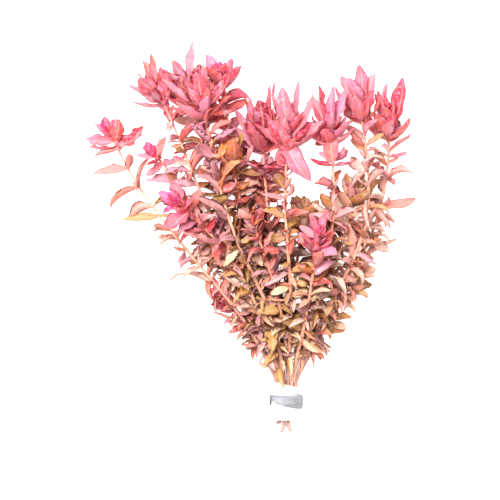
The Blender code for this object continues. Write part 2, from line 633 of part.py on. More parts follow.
def build_shoot(stem, leaves, material):
    """One closed solid: the stem's rings, with a blade in place of a face where a leaf grows."""
    bm = bmesh.new()
    lengths = stem.ring_lengths()
    node_at = {low: node for node, (low, high) in enumerate(stem.leaf_bands())}
    rings = [[bm.verts.new(corner) for corner in stem.corners(length)] for length in lengths]
    for length, below, above in zip(lengths, rings, rings[1:]):
        for side in range(4):
            following = (side + 1) % 4
            base = [below[side], below[following], above[following], above[side]]
            blade = leaves.get((stem.shoot.name, node_at.get(length), side))
            if blade is None:
                bm.faces.new(base)
                continue
            corners = base + [bm.verts.new(c) for ring in blade.rings for c in ring]
            corners.append(bm.verts.new(blade.tip))
            for face in blade_faces(len(blade.rings)):
                bm.faces.new([corners[c] for c in face])
    bm.faces.new(rings[0][::-1])
    bud = bm.verts.new(stem.at(stem.total)[0])
    for side in range(4):
        bm.faces.new((rings[-1][side], rings[-1][(side + 1) % 4], bud))
    return finish_object(stem.shoot.name, bm, material)


def collar_outline(half_width, low, high, roundness):
    """A rounded outline about the stems, as a superellipse of even steps."""
    corners = []
    middle = (low + high) / 2
    for k in range(COLLAR_SIDES):
        angle = 2 * math.pi * (k + 0.5) / COLLAR_SIDES
        x = math.copysign(abs(math.cos(angle)) ** roundness, math.cos(angle)) * half_width
        z = math.copysign(abs(math.sin(angle)) ** roundness, math.sin(angle)) * (high - low) / 2
        corners.append((x, middle + z))
    return corners


def build_foam_collar(material):
    """A foam sleeve that the strip pinches at its waist, with an opening for the stems."""
    bm = bmesh.new()
    half = COLLAR_WIDTH / 2
    under = COLLAR_UNDERSIDE
    top = COLLAR_UNDERSIDE + COLLAR_HEIGHT
    lip = WAIST_HALF_WIDTH + WAIST_LIP
    lip_top = WAIST_HIGH_Z + WAIST_LIP_RISE
    waist = (WAIST_HALF_WIDTH, WAIST_LOW_Z, WAIST_HIGH_Z, 0.0)
    soft = RIM_ROUNDING
    stations = [
        (COLLAR_LOWER_Y, half - soft, under + 0.6 * soft, top - 1.2 * soft, 0.0),
        (COLLAR_LOWER_Y + 1.2 * soft, half - 0.4 * soft, under, top - 0.5 * soft, 0.0),
        (STRIP_LOWER_Y - WAIST_GAP - 0.05, lip, under, lip_top, 0.0),
        (STRIP_LOWER_Y - WAIST_GAP, *waist),
        (STRIP_UPPER_Y + WAIST_GAP, *waist),
        (STRIP_UPPER_Y + WAIST_GAP + 0.05, lip, under, lip_top, 0.0),
        (COLLAR_UPPER_Y - 2.2 * soft, half - 0.2 * soft, under, top - 0.2 * soft, COLLAR_RIM_SLOPE / 2),
        (COLLAR_UPPER_Y, half, under + 0.5 * soft, top, COLLAR_RIM_SLOPE),
    ]
    outer = []
    for y, half_width, low, high, slope in stations:
        outline = collar_outline(half_width, low, high, COLLAR_ROUNDNESS)
        outer.append([bm.verts.new((x, y + slope * x, z)) for x, z in outline])
    hole = collar_outline(HOLE_HALF_WIDTH, HOLE_LOW_Z, HOLE_HIGH_Z, HOLE_ROUNDNESS)
    mouth = collar_outline(MOUTH_HALF_WIDTH, MOUTH_LOW_Z, MOUTH_HIGH_Z, MOUTH_ROUNDNESS)
    inner_low = [bm.verts.new((x, COLLAR_LOWER_Y + HOLE_INSET, z)) for x, z in hole]
    inner_middle = [bm.verts.new((x, STRIP_UPPER_Y, z)) for x, z in hole]
    rim_y = COLLAR_UPPER_Y - HOLE_INSET
    inner_high = [bm.verts.new((x, rim_y + COLLAR_RIM_SLOPE * x, z)) for x, z in mouth]
    loops = [inner_low] + outer + [inner_high, inner_middle, inner_low]
    for near, far in zip(loops, loops[1:]):
        for k in range(COLLAR_SIDES):
            following = (k + 1) % COLLAR_SIDES
            bm.faces.new((near[k], near[following], far[following], far[k]))
    bmesh.ops.recalc_face_normals(bm, faces=bm.faces[:])
    return finish_object("foam_collar", bm, material)


def build_lead_strip(material):
    """A soft strip bent round the waist, flat underneath, its cut end lapped over the front."""
    line = [(x, z, STRIP_HALF, 0.0) for x, z in STRIP_PATH] + STRIP_LAP
    bm = bmesh.new()
    rings = []
    for k, (x, z, half, shift) in enumerate(line):
        before, after = line[max(k - 1, 0)], line[min(k + 1, len(line) - 1)]
        along = Vector((after[0] - before[0], 0, after[1] - before[1])).normalized()
        offset = Vector((-along.z, 0, along.x)) * STRIP_THICKNESS / 2
        middle = (STRIP_LOWER_Y + STRIP_UPPER_Y) / 2 + shift
        centre = Vector((x, 0, z))
        ring = []
        for sign, y in ((-1, middle - half), (-1, middle + half), (1, middle + half), (1, middle - half)):
            corner = centre + offset * sign
            ring.append(bm.verts.new((corner.x, y, corner.z)))
        rings.append(ring)
    for near, far in zip(rings, rings[1:]):
        for k in range(4):
            following = (k + 1) % 4
            bm.faces.new((near[k], near[following], far[following], far[k]))
    bm.faces.new(rings[0][::-1])
    bm.faces.new(rings[-1])
    bmesh.ops.recalc_face_normals(bm, faces=bm.faces[:])
    return finish_object("lead_strip", bm, material)


def main():
    remove_old_objects()
    leaf = principled("rotala_leaf", (0.82, 0.2, 0.24), 0.45)
    foam = principled("white_foam", (0.93, 0.93, 0.92), 0.9)
    lead = principled("soft_lead", (0.52, 0.53, 0.57), 0.5, 0.9)
    stems = [Stem(shoot, line) for shoot, line in zip(SHOOTS, spread_stems(stem_lines()))]
    collar = build_foam_collar(foam)
    strip = build_lead_strip(lead)
    thicket = Thicket()
    for thing in (collar, strip):
        points = [corner.co / MM for corner in thing.data.vertices]
        thicket.add(thing.name, points, [list(face.vertices) for face in thing.data.polygons])
    for stem in stems:
        rings = [stem.corners(length) for length in stem.ring_lengths()]
        rings.append([stem.at(stem.total)[0]] * 4)
        points = [corner for ring in rings for corner in ring]
        faces = [(4 * k + s, 4 * k + (s + 1) % 4, 4 * k + 4 + (s + 1) % 4, 4 * k + 4 + s)
                 for k in range(len(rings) - 1) for s in range(4)]
        thicket.add(stem.shoot.name, points, faces)
    leaves = grow_leaves(stems, thicket)
    total = 0
    for stem in stems:
        shoot = build_shoot(stem, leaves, leaf)
        total += len(shoot.data.polygons)
    total += len(collar.data.polygons) + len(strip.data.polygons)
    print("leaves", len(leaves), "triangles", total)


main()
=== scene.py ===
# %% [markdown]
# # A bunch of rotala, grown leaf by leaf
#
# Rotala is a red stem plant for aquariums. It is sold as a cut bunch: about twenty leafy shoots pushed
# into a white foam collar, with a strip of soft lead bent round the collar to sink it. Here the bunch
# lies on a white table and is seen from straight above.
#
# The solids that are loaded below already hold the size and the place of every shoot and of its main
# leaves. This lesson dresses them. It reads each stem and each leaf back from the solids, grows a
# cupped, veined blade on every one, adds the young and the small leaves that the solids are too plain
# for, and gives the foam and the lead their folds.

# %% Load the solids
import math
import random
from collections import namedtuple

import bmesh
import bpy
import numpy as np
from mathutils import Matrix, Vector
from mathutils.bvhtree import BVHTree


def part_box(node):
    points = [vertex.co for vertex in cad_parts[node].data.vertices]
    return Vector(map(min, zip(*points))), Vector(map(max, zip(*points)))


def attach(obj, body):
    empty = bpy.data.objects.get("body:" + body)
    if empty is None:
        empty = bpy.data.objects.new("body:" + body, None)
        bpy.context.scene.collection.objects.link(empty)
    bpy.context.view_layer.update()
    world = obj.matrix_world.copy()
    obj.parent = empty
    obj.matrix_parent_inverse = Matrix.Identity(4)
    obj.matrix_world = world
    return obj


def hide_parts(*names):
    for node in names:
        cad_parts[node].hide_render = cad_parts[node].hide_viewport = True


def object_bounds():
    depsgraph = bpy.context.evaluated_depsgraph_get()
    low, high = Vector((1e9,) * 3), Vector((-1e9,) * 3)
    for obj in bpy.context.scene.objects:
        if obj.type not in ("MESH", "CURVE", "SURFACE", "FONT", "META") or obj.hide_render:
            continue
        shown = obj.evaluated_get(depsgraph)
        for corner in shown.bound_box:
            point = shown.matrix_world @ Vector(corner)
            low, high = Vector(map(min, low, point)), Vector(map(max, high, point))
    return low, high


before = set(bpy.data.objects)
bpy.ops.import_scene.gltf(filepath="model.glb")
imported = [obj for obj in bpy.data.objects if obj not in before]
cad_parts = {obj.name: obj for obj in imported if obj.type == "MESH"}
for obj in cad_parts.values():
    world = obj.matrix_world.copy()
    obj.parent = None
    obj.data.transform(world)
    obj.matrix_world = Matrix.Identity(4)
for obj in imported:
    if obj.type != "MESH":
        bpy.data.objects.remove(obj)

MM = 0.001
cad_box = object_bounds()
print("solids:", len(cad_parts), "size in mm:", [round(side / MM, 1) for side in cad_box[1] - cad_box[0]])

# %% [markdown]
# ## The table, the light and the camera
#
# The picture to match is bright and has no shadows on the ground, as on a light table. So the floor is
# a wide pale sheet that glows a little, the sky is an even white, and one large soft lamp from the
# upper left gives the leaves their form and their wet shine. A long lens far above keeps the crowns,
# which stand higher than the collar, from looking larger than they are.

# %% Table, light and camera
PICTURE_WIDTH = 250 * MM
PICTURE_CENTRE = (-18 * MM, 75.5 * MM)
CAMERA_HEIGHT = 2.6
FLOOR_SIZE = 8.0
FLOOR_DROP = 0.15 * MM
FLOOR_GLOW = 0.9
SKY_STRENGTH = 0.66
LAMP_POWER = 61.0
LAMP_WIDTH = 0.7
LAMP_PLACE = (-0.34, 0.52, 1.52)


def make_camera():
    data = bpy.data.cameras.new("camera")
    data.lens = data.sensor_width * CAMERA_HEIGHT / PICTURE_WIDTH
    camera = bpy.data.objects.new("camera", data)
    camera.location = (*PICTURE_CENTRE, CAMERA_HEIGHT)
    bpy.context.scene.collection.objects.link(camera)
    bpy.context.scene.camera = camera


def make_light():
    world = bpy.data.worlds.new("white sky")
    world.use_nodes = True
    sky = world.node_tree.nodes["Background"]
    sky.inputs["Color"].default_value = (1.0, 1.0, 1.0, 1.0)
    sky.inputs["Strength"].default_value = SKY_STRENGTH
    bpy.context.scene.world = world
    data = bpy.data.lights.new("soft lamp", "AREA")
    data.energy = LAMP_POWER
    data.size = LAMP_WIDTH
    lamp = bpy.data.objects.new("soft lamp", data)
    lamp.location = LAMP_PLACE
    aim = Vector((*PICTURE_CENTRE, 0.0)) - lamp.location
    lamp.rotation_euler = aim.to_track_quat("-Z", "Y").to_euler()
    bpy.context.scene.collection.objects.link(lamp)


make_camera()
make_light()
bpy.context.scene.view_settings.view_transform = "Standard"
print("lens in mm:", round(bpy.context.scene.camera.data.lens))

# %% [markdown]
# ## Node trees written as sums
#
# Both the leaf shapes and the finishes below are node trees. Written node by node they are hard to
# read, so one small class wraps a socket: Python's own operators on it add the Math or Vector Math
# node, and `tree.add` adds any other node from its type, its settings and its inputs.

# %% Sockets that can be added and multiplied
VECTOR_SUMS_IN_NUMBERS = ("DOT_PRODUCT", "LENGTH", "DISTANCE")


class Wire:
    """An output socket that Python's operators work on."""

    def __init__(self, tree, socket):
        self.tree = tree
        self.socket = socket
        self.is_vector = socket.type == "VECTOR"

    def __add__(self, other):
        return self.tree.maths("ADD", self, other)

    def __radd__(self, other):
        return self.tree.maths("ADD", other, self)

    def __sub__(self, other):
        return self.tree.maths("SUBTRACT", self, other)

    def __rsub__(self, other):
        return self.tree.maths("SUBTRACT", other, self)

    def __mul__(self, other):
        return self.tree.maths("MULTIPLY", self, other)

    def __rmul__(self, other):
        return self.tree.maths("MULTIPLY", other, self)

    def __truediv__(self, other):
        return self.tree.maths("DIVIDE", self, other)

    def __rtruediv__(self, other):
        return self.tree.maths("DIVIDE", other, self)

    def __pow__(self, other):
        return self.tree.maths("POWER", self, other)

    def __neg__(self):
        return self.tree.maths("MULTIPLY", self, -1.0)


class Tree:
    """A node tree that is filled by sums and by add()."""

    def __init__(self, node_tree):
        self.nodes = node_tree
        node_tree.nodes.clear()

    def add(self, kind, settings=None, inputs=None, output=0):
        node = self.nodes.nodes.new(kind)
        for name, setting in (settings or {}).items():
            if name == "stops":
                self.fill_ramp(node.color_ramp, setting)
            else:
                setattr(node, name, setting)
        for key, value in (inputs or {}).items():
            for one in value if isinstance(value, list) else [value]:
                if isinstance(one, Wire):
                    self.nodes.links.new(one.socket, node.inputs[key])
                else:
                    node.inputs[key].default_value = one
        return Wire(self, node.outputs[output]) if node.outputs else node

    def fill_ramp(self, ramp, stops):
        while len(ramp.elements) < len(stops):
            ramp.elements.new(1.0)
        for element, (place, colour) in zip(ramp.elements, stops):
            element.position = place
            element.color = colour

    def maths(self, operation, *values):
        """A Math node, or a Vector Math node where a value is a vector."""
        vectors = [isinstance(value, Wire) and value.is_vector for value in values]
        if not any(vectors):
            return self.add("ShaderNodeMath", {"operation": operation}, dict(enumerate(values)))
        if operation == "MULTIPLY" and not all(vectors):
            vector, number = values if vectors[0] else values[::-1]
            return self.add("ShaderNodeVectorMath", {"operation": "SCALE"}, {0: vector, 3: number})
        output = 1 if operation in VECTOR_SUMS_IN_NUMBERS else 0
        return self.add("ShaderNodeVectorMath", {"operation": operation}, dict(enumerate(values)), output)

    def ease(self, value, low, high):
        """0 below low, 1 above high and smooth between them."""
        return self.add("ShaderNodeMapRange", {"interpolation_type": "SMOOTHSTEP"},
                        {0: value, 1: low, 2: high})

    def mix(self, share, first, second, blend="MIX"):
        """Two colours mixed by a share."""
        settings = {"data_type": "RGBA", "blend_type": blend}
        return self.add("ShaderNodeMix", settings, {0: share, 6: first, 7: second}, output=2)


print("sums that give a number from vectors:", len(VECTOR_SUMS_IN_NUMBERS))

# %% [markdown]
# ## Reading the shoots back from the solids
#
# Each shoot is one solid: a square stem, with a leaf in place of one side wherever a leaf grows. A leaf
# is a row of three-cornered rings that ends in a single point, so a point with exactly three neighbours
# is a leaf's tip. From there the rings are walked back to the four corners that sit on the stem. What
# is left over is the stem, four corners to a ring, walked from its cut end to its bud. Reading the
# shape this way means that no place has to be written down twice.

# %% Walk the rings of each shoot
MERGE_DISTANCE = 0.002 * MM
LEAF_THICKNESS = 0.4 * MM
LOWEST_LEAF_Y = 3 * MM

Blade = namedtuple("Blade", "foot reach face half cup bow")
Stem = namedtuple("Stem", "name points radii lengths")


def ring_axes(ring):
    """The two edge corners of a leaf's ring and its keel: the edge corners are furthest apart."""
    a, b, c = (corner.co for corner in ring)
    pairs = [((a - b).length, a, b, c), ((b - c).length, b, c, a), ((c - a).length, c, a, b)]
    return max(pairs, key=lambda pair: pair[0])[1:]


def read_blade(tip, rings, base):
    """A leaf as its foot on the stem, its reach to the tip, and how wide, cupped and bowed it is."""
    foot = sum((corner.co for corner in base), Vector()) / 4
    reach = tip.co - foot
    along = reach.normalized()
    widest = max(rings, key=lambda ring: (ring_axes(ring)[0] - ring_axes(ring)[1]).length)
    left, right, keel = ring_axes(widest)
    face = (left + right) / 2 - keel
    face = (face - along * face.dot(along)).normalized()
    centre = keel + face * LEAF_THICKNESS
    rise = ((left + right) / 2 - centre).dot(face)
    across = (left - right).length / 2
    share = (centre - foot).dot(along) / reach.length
    sag = (foot.lerp(tip.co, share) - centre).dot(face)
    bow = sag / (reach.length * 4 * share * (1 - share))
    return Blade(foot, reach, face, math.hypot(rise, across), max(math.atan2(rise, across), 0.05), bow)


def neighbours(corners, near):
    return set().union(*(near[corner] for corner in corners))


def read_shoot(name):
    """The stem's line and the leaves of one shoot, both ordered from the cut end to the bud."""
    bm = bmesh.new()
    bm.from_mesh(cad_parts[name].data)
    bmesh.ops.remove_doubles(bm, verts=bm.verts[:], dist=MERGE_DISTANCE)
    near = {corner: {edge.other_vert(corner) for edge in corner.link_edges} for corner in bm.verts}
    leaves = []
    leaf_corners = set()
    for tip in bm.verts:
        if len(near[tip]) != 3 or tip.co.y < LOWEST_LEAF_Y:
            continue
        rings = [near[tip]]
        passed = {tip}
        while True:
            following = neighbours(rings[-1], near) - rings[-1] - passed
            if len(following) != 3:
                break
            passed = rings[-1]
            rings.append(following)
        leaves.append(read_blade(tip, rings, following))
        leaf_corners.update({tip}, *rings)
    stem_corners = [corner for corner in bm.verts if corner not in leaf_corners]
    ring = set(sorted(stem_corners, key=lambda corner: corner.co.y)[:4])
    passed = set(ring)
    points = []
    radii = []
    while ring:
        centre = sum((corner.co for corner in ring), Vector()) / len(ring)
        points.append(centre)
        radii.append(sum((corner.co - centre).length for corner in ring) / len(ring))
        ring = {corner for corner in neighbours(ring, near) if corner not in leaf_corners} - passed
        passed |= ring
    lengths = [0.0]
    for before, after in zip(points, points[1:]):
        lengths.append(lengths[-1] + (after - before).length)
    bm.free()
    stem = Stem(name, points, radii, lengths)
    leaves.sort(key=lambda leaf: (round(length_at(stem, leaf.foot), 5), round(leaf.reach.x, 5)))
    return stem, leaves


def length_at(stem, spot):
    """How far along the stem a point beside it is."""
    best = (1e9, 0.0)
    for before, after, start in zip(stem.points, stem.points[1:], stem.lengths):
        step = after - before
        share = min(max((spot - before).dot(step) / step.length_squared, 0.0), 1.0)
        best = min(best, ((before + step * share - spot).length, start + share * step.length))
    return best[1]


shoot_names = sorted(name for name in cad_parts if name.startswith("shoot_"))
shoots = {name: read_shoot(name) for name in shoot_names}
print("shoots:", len(shoots), "leaves read:", sum(len(leaves) for stem, leaves in shoots.values()))

# %% [markdown]
# ## Where a leaf's surface lies
#
# Every leaf follows the same rule, whatever its size. `u` runs from the foot to the tip and `v` from
# one edge to the other, -1 to 1. The midrib is a bowed line from foot to tip. Across it the blade is
# an arc of a circle, so a small arc is a shallow cup and a large one a rolled leaf. The rule is written
# twice: here for single points, to test where a new leaf would touch another, and below as a node
# tree that shapes all of the leaves at once.

# %% One point of a leaf
Leaf = namedtuple("Leaf", "foot reach face half arc bow fold twist sway hook wave phase age crown tint")
BASE_SHARE = 0.03
CROWN_CURVE = (0.5, 0.78)
LOW_CURVE = (0.8, 1.0)
HOOK_FROM = 0.62
PATCH_STATIONS = (0.14, 0.4, 0.72)
CROWN_PATCH_STATIONS = (0.42, 0.62, 0.82)


def width_peak(start, end):
    """The largest value of u**start * (1 - u)**end, which the width is divided by."""
    peak = start / (start + end)
    return peak**start * (1 - peak) ** end


def leaf_point(leaf, u, v):
    along = leaf.reach.normalized()
    across = along.cross(leaf.face)
    start, end = CROWN_CURVE if leaf.crown > 0.5 else LOW_CURVE
    inner = BASE_SHARE + (1 - BASE_SHARE) * u
    half = leaf.half * inner**start * (1 - inner) ** end / width_peak(start, end)
    lateral = half * math.sin(leaf.arc * v) / leaf.arc
    height = half * (1 - math.cos(leaf.arc * v)) / leaf.arc + half * leaf.fold * abs(v)
    length = leaf.reach.length
    arch = 4 * u * (1 - u)
    curl = max((u - HOOK_FROM) / (1 - HOOK_FROM), 0.0) ** 2 * length
    midrib = leaf.foot + leaf.reach * u + across * leaf.sway * length * arch
    midrib += leaf.face * (leaf.hook * curl - leaf.bow * length * arch) - along * abs(leaf.hook) * curl * 0.6
    return midrib + across * lateral + leaf.face * height


def leaf_patch(leaf, stations=PATCH_STATIONS):
    """A coarse sheet of the leaf, a little way off its stem, for testing what it would touch."""
    points = [leaf_point(leaf, u, v) for u in stations for v in (-1, 0, 1)]
    points.append(leaf_point(leaf, 1.0, 0.0))
    faces = [(3 * k + side, 3 * k + side + 1, 3 * k + side + 4, 3 * k + side + 3)
             for k in range(len(stations) - 1) for side in (0, 1)]
    last = 3 * len(stations)
    return points, faces + [(last - 3, last - 2, last), (last - 2, last - 1, last)]


print("width of a crown leaf at its foot, of its widest:",
      round(BASE_SHARE ** CROWN_CURVE[0] * (1 - BASE_SHARE) ** CROWN_CURVE[1] / width_peak(*CROWN_CURVE), 2))

# %% [markdown]
# ## Leaves that are too many for the solids
#
# The solids hold one pair of leaves every 15 mm. A real shoot has a pair every 4 to 8 mm, a tuft of
# narrow young leaves round its bud, and the bunch has a tangle of small curled leaves low down, where
# light is short. These are added between the read ones. Each tries a few directions until it touches
# no stem and no other leaf, and it stays inside the space that the solids span.

# %% Tests for touching
class Thicket:
    """Everything placed so far, to test a new leaf against."""

    def __init__(self):
        self.lows = np.empty((0, 3))
        self.highs = np.empty((0, 3))
        self.trees = []

    def add(self, points, faces):
        corners = np.array(points)
        self.lows = np.vstack([self.lows, corners.min(axis=0)])
        self.highs = np.vstack([self.highs, corners.max(axis=0)])
        self.trees.append(BVHTree.FromPolygons(points, faces))

    def is_clear(self, points, faces):
        corners = np.array(points)
        close = (self.lows < corners.max(axis=0)).all(axis=1) & (self.highs > corners.min(axis=0)).all(axis=1)
        numbers = np.flatnonzero(close)
        if not len(numbers):
            return True
        tree = BVHTree.FromPolygons(points, faces)
        return not any(tree.overlap(self.trees[number]) for number in numbers)


def stem_prism(stem):
    """The stem as a three-sided tube of its own thickness."""
    points = []
    for centre, radius in zip(stem.points, stem.radii):
        for turn in range(3):
            angle = turn * math.tau / 3
            points.append(centre + Vector((math.cos(angle), 0, math.sin(angle))) * radius * 0.8)
    faces = [(3 * k + t, 3 * k + (t + 1) % 3, 3 * k + 3 + (t + 1) % 3, 3 * k + 3 + t)
             for k in range(len(stem.points) - 1) for t in range(3)]
    return points, faces


prisms = {name: stem_prism(stem) for name, (stem, blades) in shoots.items()}
print("corners of all stem tubes:", sum(len(points) for points, faces in prisms.values()))

# %% [markdown]
# ## How old a leaf is
#
# Age decides how a leaf is curled and coloured. It runs from 0 at the bud to 1 some 120 mm down the
# stem. Some shoots are weaker or older than the rest, and their crowns have lost the hot pink.

# %% Ages
OLD_AGE_LENGTH = 120 * MM
CROWN_AGE = 0.16

# Shoots whose crowns are not the youngest in the bunch, and how old their buds look
BUD_AGES = {"shoot_low_right": 0.65, "shoot_inner_right": 0.4, "shoot_back_centre": 0.4,
            "shoot_back_right": 0.5, "shoot_under_heart": 0.5, "shoot_left_lower": 0.55,
            "shoot_left_mid": 0.25, "shoot_inner_left": 0.3, "shoot_star": 0.1, "shoot_centre": 0.08,
            "shoot_tall": 0.12, "shoot_top_left": 0.08, "shoot_left_centre": 0.1,
            "shoot_upper_right": 0.06, "shoot_right": 0.08, "shoot_heart": 0.04}

# Shoots whose leaves fade sooner down the stem, and how much sooner
FADING = {"shoot_far_left": 2.4, "shoot_small_left": 1.6, "shoot_right": 1.4, "shoot_upper_right": 1.3,
          "shoot_low_bud": 2.3, "shoot_low_left": 1.8, "shoot_rosette": 1.3, "shoot_left_mid": 1.3}

# Shoots at the outside of the fan, whose leaves are slender and turn pale and peach
OUTER_SHOOTS = ("shoot_far_left", "shoot_small_left", "shoot_right", "shoot_upper_right")
OUTER_SLENDER = 0.66


def distance_age(stem, length):
    """0 at the bud and 1 at the oldest leaves."""
    return min((stem.lengths[-1] - length) / OLD_AGE_LENGTH, 1.0)


def colour_age(stem, length):
    """The same for the colours, which start older on some shoots and fade sooner on others."""
    youngest = BUD_AGES.get(stem.name, 0.0)
    faded = min(distance_age(stem, length) * FADING.get(stem.name, 1.0), 1.0)
    return youngest + (1 - youngest) * faded


def dress(stem, blade, rng):
    """A read leaf with the curl, the folds, the age and the tint that make it a real one."""
    length = length_at(stem, blade.foot)
    crown = distance_age(stem, length) < CROWN_AGE
    age = colour_age(stem, length)
    roll = rng.uniform(0.0, 0.3) if crown else rng.uniform(0.0, 1.1)
    arc = min((1.2 if crown else 2.0) * blade.cup + roll, 2.2)
    half = blade.half * (OUTER_SLENDER if stem.name in OUTER_SHOOTS and not crown else 1.0)
    return Leaf(blade.foot, blade.reach, blade.face, half, arc, blade.bow,
                fold=rng.uniform(0.05, 0.2) if crown or rng.random() < 0.6 else rng.uniform(0.3, 0.8),
                twist=rng.uniform(-0.6, 0.6) if crown else rng.uniform(-1.2, 1.2),
                sway=rng.uniform(-0.06, 0.06), hook=rng.uniform(-0.07, 0.07),
                wave=rng.uniform(0.08, 0.22), phase=rng.uniform(0, math.tau), age=age, crown=float(crown),
                tint=None)


thicket = Thicket()
for points, faces in prisms.values():
    thicket.add(points, faces)
leaves_of = {}
for number, (name, (stem, blades)) in enumerate(shoots.items()):
    rng = random.Random(100 + number)
    leaves_of[name] = [dress(stem, blade, rng) for blade in blades]
    for leaf in leaves_of[name]:
        thicket.add(*leaf_patch(leaf))
print("crown leaves:", sum(leaf.crown > 0.5 for leaves in leaves_of.values() for leaf in leaves))

# %% A new leaf and its place
LEAF_TRIES = 18
TABLE_GAP = 0.3 * MM


def stem_frame(stem, length):
    """The stem's centre, heading, sideways direction and radius at a length."""
    k = min(int(np.searchsorted(stem.lengths, length, side="right")) - 1, len(stem.points) - 2)
    share = (length - stem.lengths[k]) / (stem.lengths[k + 1] - stem.lengths[k])
    heading = (stem.points[k + 1] - stem.points[k]).normalized()
    side = heading.cross(Vector((0, 0, 1))).normalized()
    radius = stem.radii[k] + (stem.radii[k + 1] - stem.radii[k]) * share
    return stem.points[k].lerp(stem.points[k + 1], share), heading, side, radius


def new_leaf(stem, length, angle, lean, size, slim, rng, crown):
    """A leaf that grows at a length and an angle about the stem and leans away from its heading."""
    centre, heading, side, radius = stem_frame(stem, length)
    out = side * math.cos(angle) + side.cross(heading) * math.sin(angle)
    along = (heading * math.cos(lean) + out * math.sin(lean)).normalized()
    face = heading * math.sin(lean) - out * math.cos(lean)
    upward = Vector((0, 0, 1 if face.z > -0.2 else -1))
    face = face.lerp(upward, rng.uniform(0.0, 0.35 if crown else 0.8))
    face = (face - along * face.dot(along)).normalized()
    tilt = rng.gauss(0, 0.2 if crown else 0.5)
    face = face * math.cos(tilt) + along.cross(face) * math.sin(tilt)
    age = colour_age(stem, length)
    hook = rng.uniform(-0.12, 0.12) if crown else rng.uniform(-0.5, 0.25)
    return Leaf(centre + out * radius * 0.6, along * size, face, size * slim / 2,
                arc=rng.uniform(0.4, 1.0) if crown else rng.uniform(0.4, 2.1),
                bow=rng.uniform(0.05, 0.16) if crown else rng.uniform(-0.22, 0.1),
                fold=rng.uniform(0.05, 0.2) if rng.random() < 0.6 else rng.uniform(0.3, 0.9),
                twist=rng.uniform(-0.6, 0.6) if crown else rng.uniform(-1.6, 1.6),
                sway=rng.uniform(-0.09, 0.09), hook=hook, wave=rng.uniform(0.06, 0.24),
                phase=rng.uniform(0, math.tau), age=age, crown=float(crown), tint=None)


def place(leaf, stations=PATCH_STATIONS):
    """True if the leaf is above the table, inside the solids' box and touches nothing."""
    points, faces = leaf_patch(leaf, stations)
    if min(point.z for point in points) < TABLE_GAP:
        return False
    if any(point[a] < cad_box[0][a] or point[a] > cad_box[1][a] for point in points for a in range(3)):
        return False
    if not thicket.is_clear(points, faces):
        return False
    thicket.add(points, faces)
    return True


def first_that_fits(tries, stations=PATCH_STATIONS):
    """The first of a row of leaves that finds room, or None."""
    return next((leaf for leaf in tries if place(leaf, stations)), None)


# %% Crown leaves between the read ones
CROWN_LEVELS = 11
CROWN_LEVEL_STEP = 1.2 * MM

# Small outer shoots with few leaves in their crowns, and how many levels they have
SMALL_CROWNS = {"shoot_far_left": 4, "shoot_small_left": 5, "shoot_rosette": 8, "shoot_behind": 8}


def grow_crown(stem, leaves, rng):
    """Leaves round the bud, the innermost the smallest and the most upright."""
    lengths = sorted(leaf.reach.length for leaf in leaves if leaf.crown > 0.5)
    full = lengths[len(lengths) * 3 // 4]
    grown = []
    for level in range(SMALL_CROWNS.get(stem.name, CROWN_LEVELS)):
        length = stem.lengths[-1] - 0.8 * MM - CROWN_LEVEL_STEP * level
        size = full * (0.42 + 0.52 * level / (CROWN_LEVELS - 1))
        for side in (0, math.pi):
            tries = (new_leaf(stem, length, level * math.pi / 2 + side + rng.uniform(-0.7, 0.7),
                              math.radians(rng.uniform(4, 22) + 3.4 * level), size * rng.uniform(0.75, 1.05),
                              rng.uniform(0.38, 0.54), rng, True) for attempt in range(LEAF_TRIES))
            leaf = first_that_fits(tries, CROWN_PATCH_STATIONS)
            if leaf:
                grown.append(leaf)
    return grown


for number, name in enumerate(shoot_names):
    stem, blades = shoots[name]
    leaves_of[name] += grow_crown(stem, leaves_of[name], random.Random(500 + number))
print("leaves with full crowns:", sum(len(leaves) for leaves in leaves_of.values()))

# %% Leaves between the read pairs
COLLAR_TOP_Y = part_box("foam_collar")[1].y
BARE_ABOVE_COLLAR = 4 * MM
BARE_BELOW_BUD = 9 * MM
CLOSE_STEP = 3.8 * MM
WIDE_STEP = 5.6 * MM
CLOSE_FROM_AGE = 0.62
LOW_LEAF = (6 * MM, 12.5 * MM)
MIDDLE_LEAF = (9.5 * MM, 18 * MM)

# Shoots that stand free and keep wide gaps between their leaves, and how much wider
FREE_SHOOTS = {"shoot_far_left": 4.0, "shoot_heart": 2.2, "shoot_right": 1.3, "shoot_upper_right": 1.3,
               "shoot_small_left": 2.2, "shoot_top_left": 1.5}


def grow_between(stem, rng):
    """Opposite pairs up the stem, close together low down and further apart above."""
    grown = []
    above_collar = next(at for at, point in zip(stem.lengths, stem.points) if point.y > COLLAR_TOP_Y)
    length = above_collar + BARE_ABOVE_COLLAR
    turn = rng.uniform(0, math.tau)
    while length < stem.lengths[-1] - BARE_BELOW_BUD:
        age = distance_age(stem, length)
        smallest, largest = (LOW_LEAF[k] * age + MIDDLE_LEAF[k] * (1 - age) for k in (0, 1))
        for side in (0, math.pi):
            spot = length + rng.uniform(-1, 1) * MM
            tries = (new_leaf(stem, spot, turn + side + rng.uniform(-0.9, 0.9),
                              math.radians(rng.uniform(30, 85) + rng.uniform(0, 65) * age),
                              rng.uniform(smallest, largest) * (1 - 0.025 * attempt), rng.uniform(0.3, 0.55),
                              rng, False) for attempt in range(LEAF_TRIES))
            leaf = first_that_fits(tries)
            if leaf:
                grown.append(leaf)
        turn += math.pi / 2
        crowding = min(age / CLOSE_FROM_AGE, 1.0) ** 2
        wide = WIDE_STEP * FREE_SHOOTS.get(stem.name, 1.0)
        length += (wide + (CLOSE_STEP - wide) * crowding) * rng.uniform(0.7, 1.3)
    return grown


for number, name in enumerate(shoot_names):
    leaves_of[name] += grow_between(shoots[name][0], random.Random(900 + number))
print("leaves in all:", sum(len(leaves) for leaves in leaves_of.values()))

